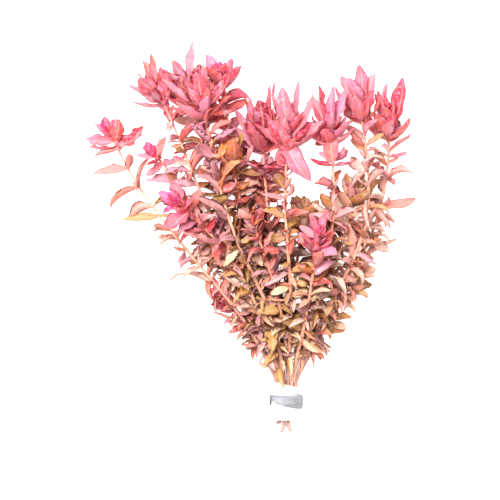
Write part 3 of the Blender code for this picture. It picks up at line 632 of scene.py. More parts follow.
# %% [markdown]
# ## A tint for each leaf
#
# In a bunch like this no two leaves match. Buds are hot pink, crowns pink, coral and lilac, the leaves
# below them salmon, red and orange brown, and the oldest peach, olive gold, mauve or bleached. So each
# age has its own list of colours, and a leaf takes one of them at random. Leaves with many others above
# them more often take a dark colour, as painted shade. A colour comes with a weight: how often it is taken.

# %% Tints
def paint(red, green, blue):
    """A colour of 0 to 255 as the eye sees it, turned into the linear values that light needs."""
    def linear(value):
        value = value / 255
        return value / 12.92 if value <= 0.04045 else ((value + 0.055) / 1.055) ** 2.4
    return (linear(red), linear(green), linear(blue), 1.0)


BUD_COLOURS = ((3, paint(230, 36, 112)), (2, paint(242, 84, 142)), (1, paint(240, 124, 168)))
CROWN_COLOURS = ((4, paint(240, 108, 124)), (3, paint(240, 140, 152)), (3, paint(236, 112, 100)),
                 (1.4, paint(218, 58, 80)), (1.3, paint(228, 146, 174)), (1, paint(164, 34, 54)))
MIDDLE_COLOURS = ((3, paint(236, 126, 114)), (3, paint(238, 154, 152)), (1.2, paint(212, 88, 78)),
                  (3, paint(216, 132, 64)), (0.6, paint(140, 36, 42)), (1.6, paint(212, 148, 166)),
                  (1.6, paint(244, 186, 166)), (1.6, paint(196, 146, 74)))
LOW_COLOURS = ((3, paint(236, 174, 142)), (3, paint(242, 206, 164)), (4, paint(206, 156, 86)),
               (1.6, paint(166, 122, 52)), (2, paint(206, 150, 152)), (1.3, paint(238, 208, 192)),
               (0.8, paint(232, 140, 98)), (1, paint(180, 122, 132)), (0.5, paint(110, 60, 44)))
OUTER_COLOURS = ((3, paint(238, 174, 160)), (3, paint(234, 148, 138)), (2, paint(238, 192, 178)),
                 (1.5, paint(226, 134, 112)), (1, paint(230, 156, 174)), (1, paint(214, 152, 96)))
GOLDEN_COLOURS = ((3, paint(240, 200, 160)), (4, paint(208, 158, 86)), (2, paint(232, 168, 136)),
                  (1.5, paint(186, 140, 62)), (1.5, paint(240, 212, 186)), (1, paint(208, 152, 150)))
# Dark colours for painted shade, taken by leaves with many others above them
PAINTED_SHADE_YOUNG_COLOURS = ((3, paint(150, 26, 32)), (2, paint(180, 58, 42)), (1.5, paint(180, 94, 38)))
PAINTED_SHADE_OLD_COLOURS = ((2, paint(130, 48, 26)), (2, paint(132, 74, 26)), (1.5, paint(144, 100, 36)),
                    (1, paint(140, 84, 84)))
GOLDEN_SHOOTS = ("shoot_low_right", "shoot_back_right", "shoot_inner_right", "shoot_under_heart")
SHADE_REACH = 8 * MM
SHADE_RISE = 5 * MM
DEEP_SHADE = 9
PAINTED_SHADE_SHARE = 0.32
NEXT_TO_BUD = 5 * MM
BIG_LEAF = 11 * MM


def leaf_tint(name, age, by_bud, shade, rng):
    """A colour for a leaf of this shoot and age; with many leaves over it, more often a dark one as painted
    shade.
    """
    stage = age + rng.uniform(-0.06, 0.08)
    if by_bud and stage < 0.1:
        colours = BUD_COLOURS
    elif stage < 0.27:
        colours = CROWN_COLOURS
    elif name in OUTER_SHOOTS:
        colours = OUTER_COLOURS
    elif name in GOLDEN_SHOOTS:
        colours = GOLDEN_COLOURS
    elif stage < 0.52:
        colours = MIDDLE_COLOURS
    else:
        colours = LOW_COLOURS
    # Painted shade: a leaf with many leaves over it often takes a dark colour
    if rng.random() < (shade / DEEP_SHADE) ** 2 * PAINTED_SHADE_SHARE:
        colours = PAINTED_SHADE_YOUNG_COLOURS if age < 0.45 else PAINTED_SHADE_OLD_COLOURS
    return rng.choices([colour for weight, colour in colours], [weight for weight, colour in colours])[0]


middles = np.array([leaf.foot + leaf.reach / 2 for name in shoot_names for leaf in leaves_of[name]])
rng = random.Random(7)
deep_leaves = 0
for name in shoot_names:
    bud = shoots[name][0].points[-1]
    tinted = []
    for leaf in leaves_of[name]:
        middle = np.array(leaf.foot + leaf.reach / 2)
        near = np.hypot(*(middles[:, :2] - middle[:2]).T) < SHADE_REACH
        shade = int((near & (middles[:, 2] > middle[2] + SHADE_RISE)).sum())
        deep_leaves += shade >= DEEP_SHADE
        by_bud = (leaf.foot - bud).length < NEXT_TO_BUD and leaf.reach.length < BIG_LEAF
        tinted.append(leaf._replace(tint=leaf_tint(name, leaf.age, by_bud, shade, rng)))
    leaves_of[name] = tinted
print("leaves in deep shade:", deep_leaves)

# %% [markdown]
# ## A flat blade to copy
#
# All leaves start as copies of a flat blade one unit long. It is closed like a lens: an upper and a
# lower face that meet at the edges. Its points carry `leaf_u`, `leaf_v` and `leaf_side` as attributes,
# so the node tree knows where on the leaf each of them is, and the leaf finish later paints by the
# same numbers. Crown leaves are large and get a finer blade than the many small ones.

# %% Two flat blades
FINE_ALONG = (0.0, 0.05, 0.13, 0.22, 0.32, 0.43, 0.54, 0.65, 0.76, 0.86, 0.94)
FINE_ACROSS = (-0.8, -0.42, 0.0, 0.42, 0.8)
PLAIN_ALONG = (0.0, 0.1, 0.25, 0.42, 0.6, 0.77, 0.9)
PLAIN_ACROSS = (-0.5, 0.0, 0.5)
FLAT_THICKNESS = 0.05


def make_flat_blade(name, along, across):
    bm = bmesh.new()
    u_layer, v_layer, side_layer = (bm.verts.layers.float.new("leaf_" + part) for part in ("u", "v", "side"))
    loop = [(-1.0, 0)] + [(v, 1) for v in across] + [(1.0, 0)] + [(v, -1) for v in reversed(across)]

    def corner(u, v, side):
        vert = bm.verts.new((v, u, side * FLAT_THICKNESS))
        vert[u_layer], vert[v_layer], vert[side_layer] = u, v, side
        return vert

    rings = [[corner(u, v, side) for v, side in loop] for u in along]
    tip = corner(1.0, 0.0, 0)
    for near, far in zip(rings, rings[1:]):
        for k in range(len(loop)):
            bm.faces.new((near[k], near[k - 1], far[k - 1], far[k]))
    for k in range(len(loop)):
        bm.faces.new((rings[-1][k], rings[-1][k - 1], tip))
    bm.faces.new(rings[0])
    bmesh.ops.recalc_face_normals(bm, faces=bm.faces[:])
    mesh = bpy.data.meshes.new(name)
    bm.to_mesh(mesh)
    bm.free()
    blade = bpy.data.objects.new(name, mesh)
    bpy.context.scene.collection.objects.link(blade)
    return blade


fine_blade = make_flat_blade("fine_blade", FINE_ALONG, FINE_ACROSS)
plain_blade = make_flat_blade("plain_blade", PLAIN_ALONG, PLAIN_ACROSS)
print("faces of a blade:", len(fine_blade.data.polygons), "and", len(plain_blade.data.polygons))

# %% [markdown]
# ## The leaf finish
#
# A rotala leaf is thin, wet and waxy. Young ones are hot pink, the crown is pink, the leaves below it
# turn coral and copper, and the oldest are olive, brown or a bleached lilac. The colour follows the
# leaf's own tint, which its points carry. Pale patches lie over it, partly a waxy bloom and partly a
# painted highlight for the wet shine, and the underside is deeper. The midrib and the side veins are
# drawn from the blade's own u and v, and edges and old tips are browner. Light also passes through a
# leaf, so part of the shader is translucent.

# %% Leaf finish
# Pale colours for waxy bloom and painted highlight, young and old
YOUNG_BLOOM_AND_HIGHLIGHT = paint(240, 190, 214)
OLD_BLOOM_AND_HIGHLIGHT = paint(242, 218, 194)
YOUNG_MOTTLE = paint(204, 116, 172)
OLD_MOTTLE = paint(208, 144, 108)
YOUNG_UNDERSIDE = paint(206, 110, 130)
OLD_UNDERSIDE = paint(220, 180, 150)
MIDRIB = paint(250, 204, 184)
YOUNG_EDGE = paint(156, 34, 62)
OLD_EDGE = paint(112, 50, 30)
YOUNG_GLOW = paint(230, 102, 118)
OLD_GLOW = paint(216, 144, 104)


def attribute(tree, name):
    return tree.add("ShaderNodeAttribute", {"attribute_name": name}, output=2)


def new_material(name):
    material = bpy.data.materials.new(name)
    material.use_nodes = True
    return material, Tree(material.node_tree)


def leaf_finish():
    material, tree = new_material("rotala_leaf")
    u, v, side, age = (attribute(tree, name) for name in ("leaf_u", "leaf_v", "leaf_side", "age"))
    colour = tree.add("ShaderNodeAttribute", {"attribute_name": "tint"})
    place_on_object = tree.add("ShaderNodeTexCoord", output="Object")
    mottle = tree.add("ShaderNodeTexNoise", None, {"Vector": place_on_object, "Scale": 480.0, "Detail": 4.0})
    patches = tree.add("ShaderNodeTexNoise", None, {"Vector": place_on_object, "Scale": 150.0, "Detail": 2.0})
    below = tree.ease(side * -1.0, 0.2, 0.8)
    underside = tree.mix(age, YOUNG_UNDERSIDE, OLD_UNDERSIDE)
    colour = tree.mix(below * 0.5, colour, underside, "MULTIPLY")
    colour = tree.mix(tree.ease(patches, 0.5, 0.75) * 0.35, colour, OLD_EDGE, "SOFT_LIGHT")
    blotches = tree.add("ShaderNodeTexNoise", None, {"Vector": place_on_object, "Scale": 460.0, "Detail": 3.0})
    blotched = tree.ease(blotches, 0.52, 0.62) * (0.55 - age * 0.2)
    colour = tree.mix(blotched, colour, tree.mix(age, YOUNG_MOTTLE, OLD_MOTTLE))
    # Pale patches: partly waxy bloom, partly painted highlight for the wet shine
    bloom_and_painted_highlight = tree.ease(mottle * 0.6 + patches * 0.4, 0.48, 0.66)
    colour = tree.mix(bloom_and_painted_highlight * 0.42, colour, tree.mix(age, YOUNG_BLOOM_AND_HIGHLIGHT, OLD_BLOOM_AND_HIGHLIGHT))
    spread = tree.maths("ABSOLUTE", v)
    midrib = 1.0 - tree.ease(spread, 0.03, 0.14)
    veins = tree.ease(tree.maths("SINE", (u * 9.0 - spread * 1.6) * math.tau), 0.72, 1.0)
    veins = veins * tree.ease(spread, 0.05, 0.3) * (1.0 - tree.ease(spread, 0.75, 0.98))
    colour = tree.mix(midrib * 0.4, colour, MIDRIB)
    colour = tree.mix(veins * 0.2, colour, MIDRIB)
    edge = tree.ease(spread + (patches - 0.5) * 0.3, 0.84, 1.0) * (0.6 - age * 0.25)
    dead_tip = tree.ease(u + (mottle - 0.5) * 0.3, 0.86, 1.0) * tree.ease(age, 0.2, 0.7) * 0.6
    specks = tree.ease(mottle + blotches * 0.4, 0.86, 0.93) * 0.6
    dark = tree.maths("MAXIMUM", tree.maths("MAXIMUM", edge, dead_tip), specks)
    colour = tree.mix(dark, colour, tree.mix(tree.ease(age, 0.1, 0.5), YOUNG_EDGE, OLD_EDGE))
    height = mottle * 0.5 + midrib * 0.8 * side + veins * 0.5
    bump = tree.add("ShaderNodeBump", None, {"Strength": 0.6, "Distance": 0.3 * MM, "Height": height})
    skin = tree.add("ShaderNodeBsdfPrincipled", None, {
        "Base Color": colour, "Roughness": 0.4 + mottle * 0.2, "Normal": bump,
        "Coat Weight": 0.15, "Coat Roughness": 0.25, "Specular IOR Level": 0.35})
    young_glow, old_glow = (tree.add("ShaderNodeBsdfTranslucent", None, {"Color": shine, "Normal": bump})
                            for shine in (YOUNG_GLOW, OLD_GLOW))
    glow = tree.add("ShaderNodeMixShader", None, {0: tree.ease(age, 0.1, 0.6), 1: young_glow, 2: old_glow})
    brightness = tree.add("ShaderNodeRGBToBW", None, {0: colour})
    thinness = tree.ease(brightness, 0.02, 0.3) * 0.25
    both = tree.add("ShaderNodeMixShader", None, {0: thinness, 1: skin, 2: glow})
    tree.add("ShaderNodeOutputMaterial", None, {"Surface": both})
    return material


leaf_material = leaf_finish()
print("leaf finish:", len(leaf_material.node_tree.nodes), "nodes")

# %% [markdown]
# ## The stem finish
#
# Stems are juicy and pale: pink under the crown, peach lower down and straw coloured near the cut. Their
# fine grain is only in the bump.

# %% Stem finish
STEM_AGES = (
    (0.0, paint(236, 124, 124)),
    (0.2, paint(232, 148, 126)),
    (0.5, paint(230, 172, 142)),
    (1.0, paint(180, 138, 126)),
)
STEM_BROWN = paint(176, 100, 74)


def stem_finish():
    material, tree = new_material("rotala_stem")
    age = attribute(tree, "age")
    joint = attribute(tree, "joint")
    place_on_object = tree.add("ShaderNodeTexCoord", output="Object")
    grain = tree.add("ShaderNodeTexNoise", None, {"Vector": place_on_object, "Scale": 700.0, "Detail": 3.0})
    patches = tree.add("ShaderNodeTexNoise", None, {"Vector": place_on_object, "Scale": 110.0, "Detail": 2.0})
    colour = tree.add("ShaderNodeValToRGB", {"stops": STEM_AGES}, {0: age})
    brown = tree.maths("MAXIMUM", joint * 0.55, tree.ease(patches, 0.52, 0.72) * 0.4)
    colour = tree.mix(brown, colour, STEM_BROWN)
    bump = tree.add("ShaderNodeBump", None, {"Strength": 0.4, "Distance": 0.15 * MM, "Height": grain})
    skin = tree.add("ShaderNodeBsdfPrincipled", None, {
        "Base Color": colour, "Roughness": 0.4 + grain * 0.15, "Normal": bump,
        "Subsurface Weight": 0.1, "Subsurface Scale": 0.001})
    tree.add("ShaderNodeOutputMaterial", None, {"Surface": skin})
    return material


stem_material = stem_finish()
print("stem finish:", len(stem_material.node_tree.nodes), "nodes")

# %% [markdown]
# ## The tree that grows a shoot
#
# A shoot starts as a mesh with two kinds of points: a chain of points joined by edges, which is the
# stem's line, and loose points, one for each leaf. The tree parts the two. On the leaf points it puts
# copies of the flat blade, makes them real and moves every point to where the leaf rule says. The
# chain becomes a curve that a small circle is swept along, with the radius that each point carries.

# %% Leaf and stem tree
MIDRIB_DEPTH = 0.16 * MM
BLADE_THICKNESS = 0.1 * MM
WAVES = 2.6
UNEVEN_EDGE = 0.1
REST_HEIGHT = 0.15 * MM
STEM_SIDES = 9


def named(tree, name, kind="FLOAT"):
    return tree.add("GeometryNodeInputNamedAttribute", {"data_type": kind}, {"Name": name})


def shaped_width(tree, u):
    """The blade's half width at u, as a share of its widest: two curves, chosen by crown."""
    inner = BASE_SHARE + (1 - BASE_SHARE) * u
    low, crown = ((inner ** start) * ((1.0 - inner) ** end) * (1 / width_peak(start, end))
                  for start, end in (LOW_CURVE, CROWN_CURVE))
    return low + (crown - low) * named(tree, "crown")


def leaf_rule(tree):
    """The place of every blade point, from its own u, v and side and its leaf's values."""
    u, v, side = (named(tree, "leaf_" + part) for part in ("u", "v", "side"))
    foot, reach, face = (named(tree, name, "FLOAT_VECTOR") for name in ("foot", "reach", "face"))
    along = tree.maths("NORMALIZE", reach)
    across = tree.maths("CROSS_PRODUCT", along, face)
    angle = named(tree, "twist") * (u - 0.4)
    sine, cosine = tree.maths("SINE", angle), tree.maths("COSINE", angle)
    turned_across = across * cosine + face * sine
    turned_face = face * cosine - across * sine
    uneven = 1.0 + UNEVEN_EDGE * tree.maths("SINE", u * 11.0 + named(tree, "phase") * 2.0 + v * 1.5)
    half = named(tree, "half") * shaped_width(tree, u) * uneven
    arc = named(tree, "arc")
    spread = tree.maths("ABSOLUTE", v)
    lateral = half * tree.maths("SINE", arc * v) / arc
    cup = half * (1.0 - tree.maths("COSINE", arc * v)) / arc + half * spread * named(tree, "fold")
    ripple = tree.maths("SINE", u * (WAVES * math.tau) + named(tree, "phase") + v)
    ripple = ripple * half * spread * spread * named(tree, "wave") * tree.ease(1.0 - u, 0.0, 0.3)
    middle = 1.0 - spread * spread
    rib = (1.0 - tree.ease(spread, 0.0, 0.42)) * tree.ease(side * -1.0, 0.0, 1.0) * (1.0 - u) * MIDRIB_DEPTH
    thickness = side * middle * BLADE_THICKNESS * tree.ease(1.0 - u, 0.0, 0.2) - rib
    length = tree.maths("LENGTH", reach)
    arch = length * u * (1.0 - u) * 4.0
    curl = tree.maths("MAXIMUM", (u - HOOK_FROM) / (1 - HOOK_FROM), 0.0) ** 2.0 * length
    hook = named(tree, "hook")
    midrib = foot + reach * u + across * (named(tree, "sway") * arch)
    midrib = midrib + face * (hook * curl - named(tree, "bow") * arch)
    midrib = midrib - along * (tree.maths("ABSOLUTE", hook) * curl * 0.6)
    place = midrib + turned_across * lateral + turned_face * (cup + ripple + thickness)
    above_table = tree.add("ShaderNodeCombineXYZ", None, {
        "X": -1.0, "Y": -1.0, "Z": REST_HEIGHT + side * BLADE_THICKNESS / 2})
    return tree.maths("MAXIMUM", place, above_table)


def make_shoot_tree():
    group = bpy.data.node_groups.new("grow_shoot", "GeometryNodeTree")
    sockets = {"Geometry": "NodeSocketGeometry", "Fine blade": "NodeSocketObject",
               "Plain blade": "NodeSocketObject", "Stem sides": "NodeSocketInt",
               "Leaf finish": "NodeSocketMaterial", "Stem finish": "NodeSocketMaterial"}
    for name, kind in sockets.items():
        group.interface.new_socket(name=name, in_out="INPUT", socket_type=kind)
    group.interface.new_socket(name="Geometry", in_out="OUTPUT", socket_type="NodeSocketGeometry")
    tree = Tree(group)
    given = {name: tree.add("NodeGroupInput", output=name) for name in sockets}
    is_leaf = tree.add("FunctionNodeCompare", {"operation": "GREATER_THAN"}, {0: named(tree, "is_leaf"), 1: 0.5})
    sites = tree.add("GeometryNodeSeparateGeometry", {"domain": "POINT"},
                     {"Geometry": given["Geometry"], "Selection": is_leaf})
    chain = Wire(tree, sites.socket.node.outputs["Inverted"])
    is_crown = tree.add("FunctionNodeCompare", {"operation": "GREATER_THAN"}, {0: named(tree, "crown"), 1: 0.5})
    is_low = tree.add("FunctionNodeBooleanMath", {"operation": "NOT"}, {0: is_crown})
    copies = []
    for blade, chosen in (("Fine blade", is_crown), ("Plain blade", is_low)):
        shape = tree.add("GeometryNodeObjectInfo", None, {"Object": given[blade]}, output="Geometry")
        copies.append(tree.add("GeometryNodeInstanceOnPoints", None,
                               {"Points": sites, "Selection": chosen, "Instance": shape}))
    blades = tree.add("GeometryNodeJoinGeometry", None, {"Geometry": copies})
    blades = tree.add("GeometryNodeRealizeInstances", None, {"Geometry": blades})
    blades = tree.add("GeometryNodeSetPosition", None, {"Geometry": blades, "Position": leaf_rule(tree)})
    blades = tree.add("GeometryNodeSetMaterial", None, {"Geometry": blades, "Material": given["Leaf finish"]})
    curve = tree.add("GeometryNodeMeshToCurve", None, {"Mesh": chain})
    curve = tree.add("GeometryNodeSetCurveRadius", None, {"Curve": curve, "Radius": named(tree, "radius")})
    circle = tree.add("GeometryNodeCurvePrimitiveCircle", {"mode": "RADIUS"},
                      {"Resolution": given["Stem sides"], "Radius": 1.0})
    tube = tree.add("GeometryNodeCurveToMesh", None,
                    {"Curve": curve, "Profile Curve": circle, "Scale": named(tree, "radius"), "Fill Caps": True})
    tube = tree.add("GeometryNodeSetMaterial", None, {"Geometry": tube, "Material": given["Stem finish"]})
    both = tree.add("GeometryNodeJoinGeometry", None, {"Geometry": [tube, blades]})
    both = tree.add("GeometryNodeSetShadeSmooth", None, {"Geometry": both})
    both = tree.add("GeometryNodeRealizeInstances", None, {"Geometry": both})
    tree.add("NodeGroupOutput", None, {"Geometry": both})
    return group


shoot_tree = make_shoot_tree()
print("shoot tree:", len(shoot_tree.nodes), "nodes")

# %% [markdown]
# ## Growing the twenty-two shoots
#
# Each shoot's points are written into a mesh with their values as attributes, the tree runs once, and
# its result becomes a plain mesh that stands for the shoot's solid. Stems are swollen a little where
# a pair of leaves grows.

# %% Grow every shoot
STEM_STEP = 1.6 * MM
STEM_ROUNDING = 0.86
JOINT_SWELL = 0.22
JOINT_LENGTH = 1.1 * MM
LEAF_VALUES = ("half", "arc", "bow", "fold", "twist", "sway", "hook", "wave", "phase", "age", "crown")
SHOOT_VALUES = LEAF_VALUES + ("radius", "joint", "is_leaf")


def smooth_chain(points, fine):
    """Points along a smooth curve through the given ones."""
    ends = [points[0] * 2 - points[1]] + points + [points[-1] * 2 - points[-2]]
    chain = []
    for before, a, b, after in zip(ends, ends[1:], ends[2:], ends[3:]):
        steps = max(round((b - a).length / fine), 1)
        for k in range(steps):
            t = k / steps
            chain.append(0.5 * (2 * a + (b - before) * t + (2 * before - 5 * a + 4 * b - after) * t**2
                                + (3 * a - before - 3 * b + after) * t**3))
    return chain + [points[-1]]


def stem_chain(stem, leaves):
    """The stem's points with radius, age and how near a joint each is."""
    joints = [length_at(stem, leaf.foot) for leaf in leaves]
    rows = []
    for point in smooth_chain(stem.points, STEM_STEP):
        length = length_at(stem, point)
        radius = stem_frame(stem, length)[3] * STEM_ROUNDING
        nearest = min(abs(length - joint) for joint in joints)
        swell = math.exp(-(nearest / JOINT_LENGTH) ** 2)
        above_collar = 1.0 if point.y > COLLAR_TOP_Y else 0.0
        rows.append((point, radius * (1 + JOINT_SWELL * swell * above_collar), distance_age(stem, length), swell))
    rows[-1] = (rows[-1][0], rows[-2][1] * 0.35, 0.0, 0.0)
    return rows


def shoot_points(stem, leaves):
    rows = stem_chain(stem, leaves)
    mesh = bpy.data.meshes.new(stem.name + "_points")
    places = [row[0] for row in rows] + [leaf.foot for leaf in leaves]
    mesh.from_pydata(places, [(k, k + 1) for k in range(len(rows) - 1)], [])
    for name in SHOOT_VALUES:
        stem_values = {"radius": [row[1] for row in rows], "age": [row[2] for row in rows],
                       "joint": [row[3] for row in rows]}.get(name, [0.0] * len(rows))
        if name in LEAF_VALUES:
            leaf_values = [getattr(leaf, name) for leaf in leaves]
        else:
            leaf_values = [1.0 if name == "is_leaf" else 0.0] * len(leaves)
        mesh.attributes.new(name, "FLOAT", "POINT").data.foreach_set("value", stem_values + leaf_values)
    for name in ("foot", "reach", "face"):
        values = [0.0, 0.0, 0.0] * len(rows) + [part for leaf in leaves for part in getattr(leaf, name)]
        mesh.attributes.new(name, "FLOAT_VECTOR", "POINT").data.foreach_set("vector", values)
    tints = [0.0] * 4 * len(rows) + [part for leaf in leaves for part in leaf.tint]
    mesh.attributes.new("tint", "FLOAT_COLOR", "POINT").data.foreach_set("color", tints)
    return mesh


def grow_shoot(stem, leaves):
    seed_thing = bpy.data.objects.new(stem.name + "_points", shoot_points(stem, leaves))
    bpy.context.scene.collection.objects.link(seed_thing)
    modifier = seed_thing.modifiers.new("grow", "NODES")
    modifier.node_group = shoot_tree
    values = {"Fine blade": fine_blade, "Plain blade": plain_blade, "Stem sides": STEM_SIDES,
              "Leaf finish": leaf_material, "Stem finish": stem_material}
    for item in shoot_tree.interface.items_tree:
        if item.in_out == "INPUT" and item.name in values:
            modifier[item.identifier] = values[item.name]
    graph = bpy.context.evaluated_depsgraph_get()
    mesh = bpy.data.meshes.new_from_object(seed_thing.evaluated_get(graph), depsgraph=graph)
    for name in ("foot", "reach", "face", "is_leaf"):
        if name in mesh.attributes:
            mesh.attributes.remove(mesh.attributes[name])
    bpy.data.objects.remove(seed_thing)
    piece = bpy.data.objects.new(stem.name + "_grown", mesh)
    bpy.context.scene.collection.objects.link(piece)
    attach(piece, "root")
    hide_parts(stem.name)
    return piece


pieces = [grow_shoot(shoots[name][0], leaves_of[name]) for name in shoot_names]
for blade in (fine_blade, plain_blade):
    bpy.data.objects.remove(blade)
print("faces of all shoots:", sum(len(piece.data.polygons) for piece in pieces),
      "most in one:", max(len(piece.data.polygons) for piece in pieces))

# %% [markdown]
# ## The foam collar
#
# The collar is a sleeve of white open-cell foam about 18 mm long. The lead strip squeezes its waist, so
# it swells above and below, and its upper rim is cut a little aslant. It could be a sculpted tube;
# here it is a loft, ring after ring, because its width, height and pleats all follow from how far
# along it a ring is. Pleats run out from the waist where the foam is pinched.

# %% Collar outlines
COLLAR_LOW, COLLAR_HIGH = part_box("foam_collar")
STRIP_LOW, STRIP_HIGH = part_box("lead_strip")
COLLAR_HALF = (COLLAR_HIGH.x - COLLAR_LOW.x) / 2
COLLAR_AROUND = 96
SQUARENESS = 0.5
THROAT_SQUARENESS = 0.3

# An outline of the foam: half its width, its lowest and its highest z
FULL_OUTLINE = (COLLAR_HALF, COLLAR_LOW.z, COLLAR_HIGH.z)
WAIST_OUTLINE = (7.15 * MM, 1.15 * MM, 11.55 * MM)
MOUTH_OUTLINE = (8.6 * MM, 1.1 * MM, 13.6 * MM)
THROAT_OUTLINE = (6.6 * MM, 1.9 * MM, 10.6 * MM)


def outline(sizes, squareness):
    """A rounded outline about the stems, anticlockwise seen from the shoots."""
    half_width, low, high = sizes
    points = []
    for k in range(COLLAR_AROUND):
        angle = math.tau * k / COLLAR_AROUND
        x = math.copysign(abs(math.cos(angle)) ** squareness, math.cos(angle)) * half_width
        z = math.copysign(abs(math.sin(angle)) ** squareness, math.sin(angle)) * (high - low) / 2
        points.append(Vector((x, 0.0, (low + high) / 2 + z)))
    return points


def between(first, second, share):
    """The outline sizes a share of the way from the first to the second."""
    return tuple(a + (b - a) * share for a, b in zip(first, second))


print("foam collar in mm, across and high:", round(2 * COLLAR_HALF / MM, 1),
      round((COLLAR_HIGH.z - COLLAR_LOW.z) / MM, 1))

# %% Collar rings
UPPER_RIM_Y = 8.6 * MM
RIM_SLOPE = -0.26
RINGS_BELOW, RINGS_AT_WAIST, RINGS_ABOVE = 9, 5, 12
FULLNESS = 0.7
RIM_ROUND_FROM = 0.85
RIM_ROUNDING = 0.8 * MM
PLEATS = 11
PLEAT_WANDER = 1.3
PLEAT_DEPTH = 0.35 * MM
MOUTH_DEPTHS = ((0.1 * MM, 0.35), (0.9 * MM, 0.8), (2.6 * MM, 1.0))
THROAT_INSET = 0.6 * MM


def collar_stations():
    """Where the outside's rings are: y, how free the foam is there, from 0 to 1, and its slope."""
    stations = []
    for k in range(RINGS_BELOW):
        share = k / (RINGS_BELOW - 1)
        stations.append((COLLAR_LOW.y + (STRIP_LOW.y - COLLAR_LOW.y) * share, 1 - share, 0.0))
    for k in range(1, RINGS_AT_WAIST + 1):
        stations.append((STRIP_LOW.y + (STRIP_HIGH.y - STRIP_LOW.y) * k / (RINGS_AT_WAIST + 1), 0.0, 0.0))
    for k in range(RINGS_ABOVE + 1):
        share = k / RINGS_ABOVE
        stations.append((STRIP_HIGH.y + (UPPER_RIM_Y - STRIP_HIGH.y) * share, share, RIM_SLOPE * share))
    return stations


def outside_ring(y, share, slope):
    """One ring of the outside, pleated between the waist and the rim."""
    fullness = math.sin(min(share, 1.0) * math.pi / 2) ** FULLNESS
    half, low, high = between(WAIST_OUTLINE, FULL_OUTLINE, fullness)
    rounding = RIM_ROUNDING * max(share - RIM_ROUND_FROM, 0.0) / (1 - RIM_ROUND_FROM)
    pleated = PLEAT_DEPTH * math.sin(math.pi * share)
    ring = []
    for k, point in enumerate(outline((half - rounding, low + rounding, high - rounding), SQUARENESS)):
        angle = math.tau * k / COLLAR_AROUND
        pleat = 1 + math.cos(angle * PLEATS + PLEAT_WANDER * math.sin(angle * 3))
        inward = (Vector((0, 0, (low + high) / 2)) - point).normalized()
        point = point + inward * pleat * pleated
        ring.append(Vector((point.x, y + slope * point.x, point.z)))
    return ring


def collar_rings():
    """The outside from the lower rim to the upper one, then the mouth and the throat inside."""
    rings = [outside_ring(*station) for station in collar_stations()]
    for depth, share in MOUTH_DEPTHS:
        mouth = outline(between(FULL_OUTLINE, MOUTH_OUTLINE, share), SQUARENESS)
        rings.append([Vector((point.x, UPPER_RIM_Y - depth + RIM_SLOPE * point.x, point.z)) for point in mouth])
    throat = outline(THROAT_OUTLINE, THROAT_SQUARENESS)
    for y in (STRIP_HIGH.y, COLLAR_LOW.y + THROAT_INSET):
        rings.append([Vector((point.x, y, point.z)) for point in throat])
    return rings


print("collar rings:", len(collar_rings()))

# %% Rings to a piece
def loft(rings, closed=False):
    """Faces between rings of as many points each."""
    bm = bmesh.new()
    loops = [[bm.verts.new(point) for point in ring] for ring in rings]
    for near, far in zip(loops, loops[1:] + (loops[:1] if closed else [])):
        for k in range(len(near)):
            bm.faces.new((near[k - 1], near[k], far[k], far[k - 1]))
    return bm


def finish_piece(name, bm, material, node):
    bmesh.ops.recalc_face_normals(bm, faces=bm.faces[:])
    mesh = bpy.data.meshes.new(name)
    bm.to_mesh(mesh)
    bm.free()
    mesh.shade_smooth()
    mesh.materials.append(material)
    piece = bpy.data.objects.new(name, mesh)
    bpy.context.scene.collection.objects.link(piece)
    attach(piece, "root")
    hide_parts(node)
    return piece


collar_loft = loft(collar_rings(), closed=True)
print("collar faces:", len(collar_loft.faces))

# %% Foam finish
FOAM_WHITE = paint(252, 252, 250)
# Grey of the painted shade in the foam's pores
FOAM_PORE_SHADE = paint(222, 222, 224)


def foam_finish():
    material, tree = new_material("white_foam")
    place_on_object = tree.add("ShaderNodeTexCoord", output="Object")
    cells = tree.add("ShaderNodeTexVoronoi", None, {"Vector": place_on_object, "Scale": 1400.0})
    lumps = tree.add("ShaderNodeTexNoise", None, {"Vector": place_on_object, "Scale": 300.0, "Detail": 3.0})
    # Painted shade: each open cell is greyed where it sinks in
    pore_shade = 1.0 - tree.ease(cells, 0.1, 0.5)
    colour = tree.mix(pore_shade * 0.6, FOAM_WHITE, FOAM_PORE_SHADE)
    height = cells * 0.8 + lumps * 0.5
    bump = tree.add("ShaderNodeBump", None, {"Strength": 0.6, "Distance": 0.3 * MM, "Height": height})
    skin = tree.add("ShaderNodeBsdfPrincipled", None, {
        "Base Color": colour, "Roughness": 0.95, "Normal": bump, "Specular IOR Level": 0.2})
    tree.add("ShaderNodeOutputMaterial", None, {"Surface": skin})
    return material


collar = finish_piece("foam_collar_sleeve", collar_loft, foam_finish(), "foam_collar")
print("foam finish:", len(collar.active_material.node_tree.nodes), "nodes")

# %% [markdown]
# ## The lead strip
#
# A strip of soft lead, under a millimetre thick, is bent once round the waist by hand. It lies flat
# underneath, and on top one end laps over the other and stands a little off it. Its path is a short
# list of points in the plane across the bunch, smoothed into a curve, and a rounded cross-section is
# swept along it. Hand pressure leaves it dented. Its grey is painted light: lighter left of where the
# lap bends and darker right of it, and darker still as painted shade where it turns down at its left end.

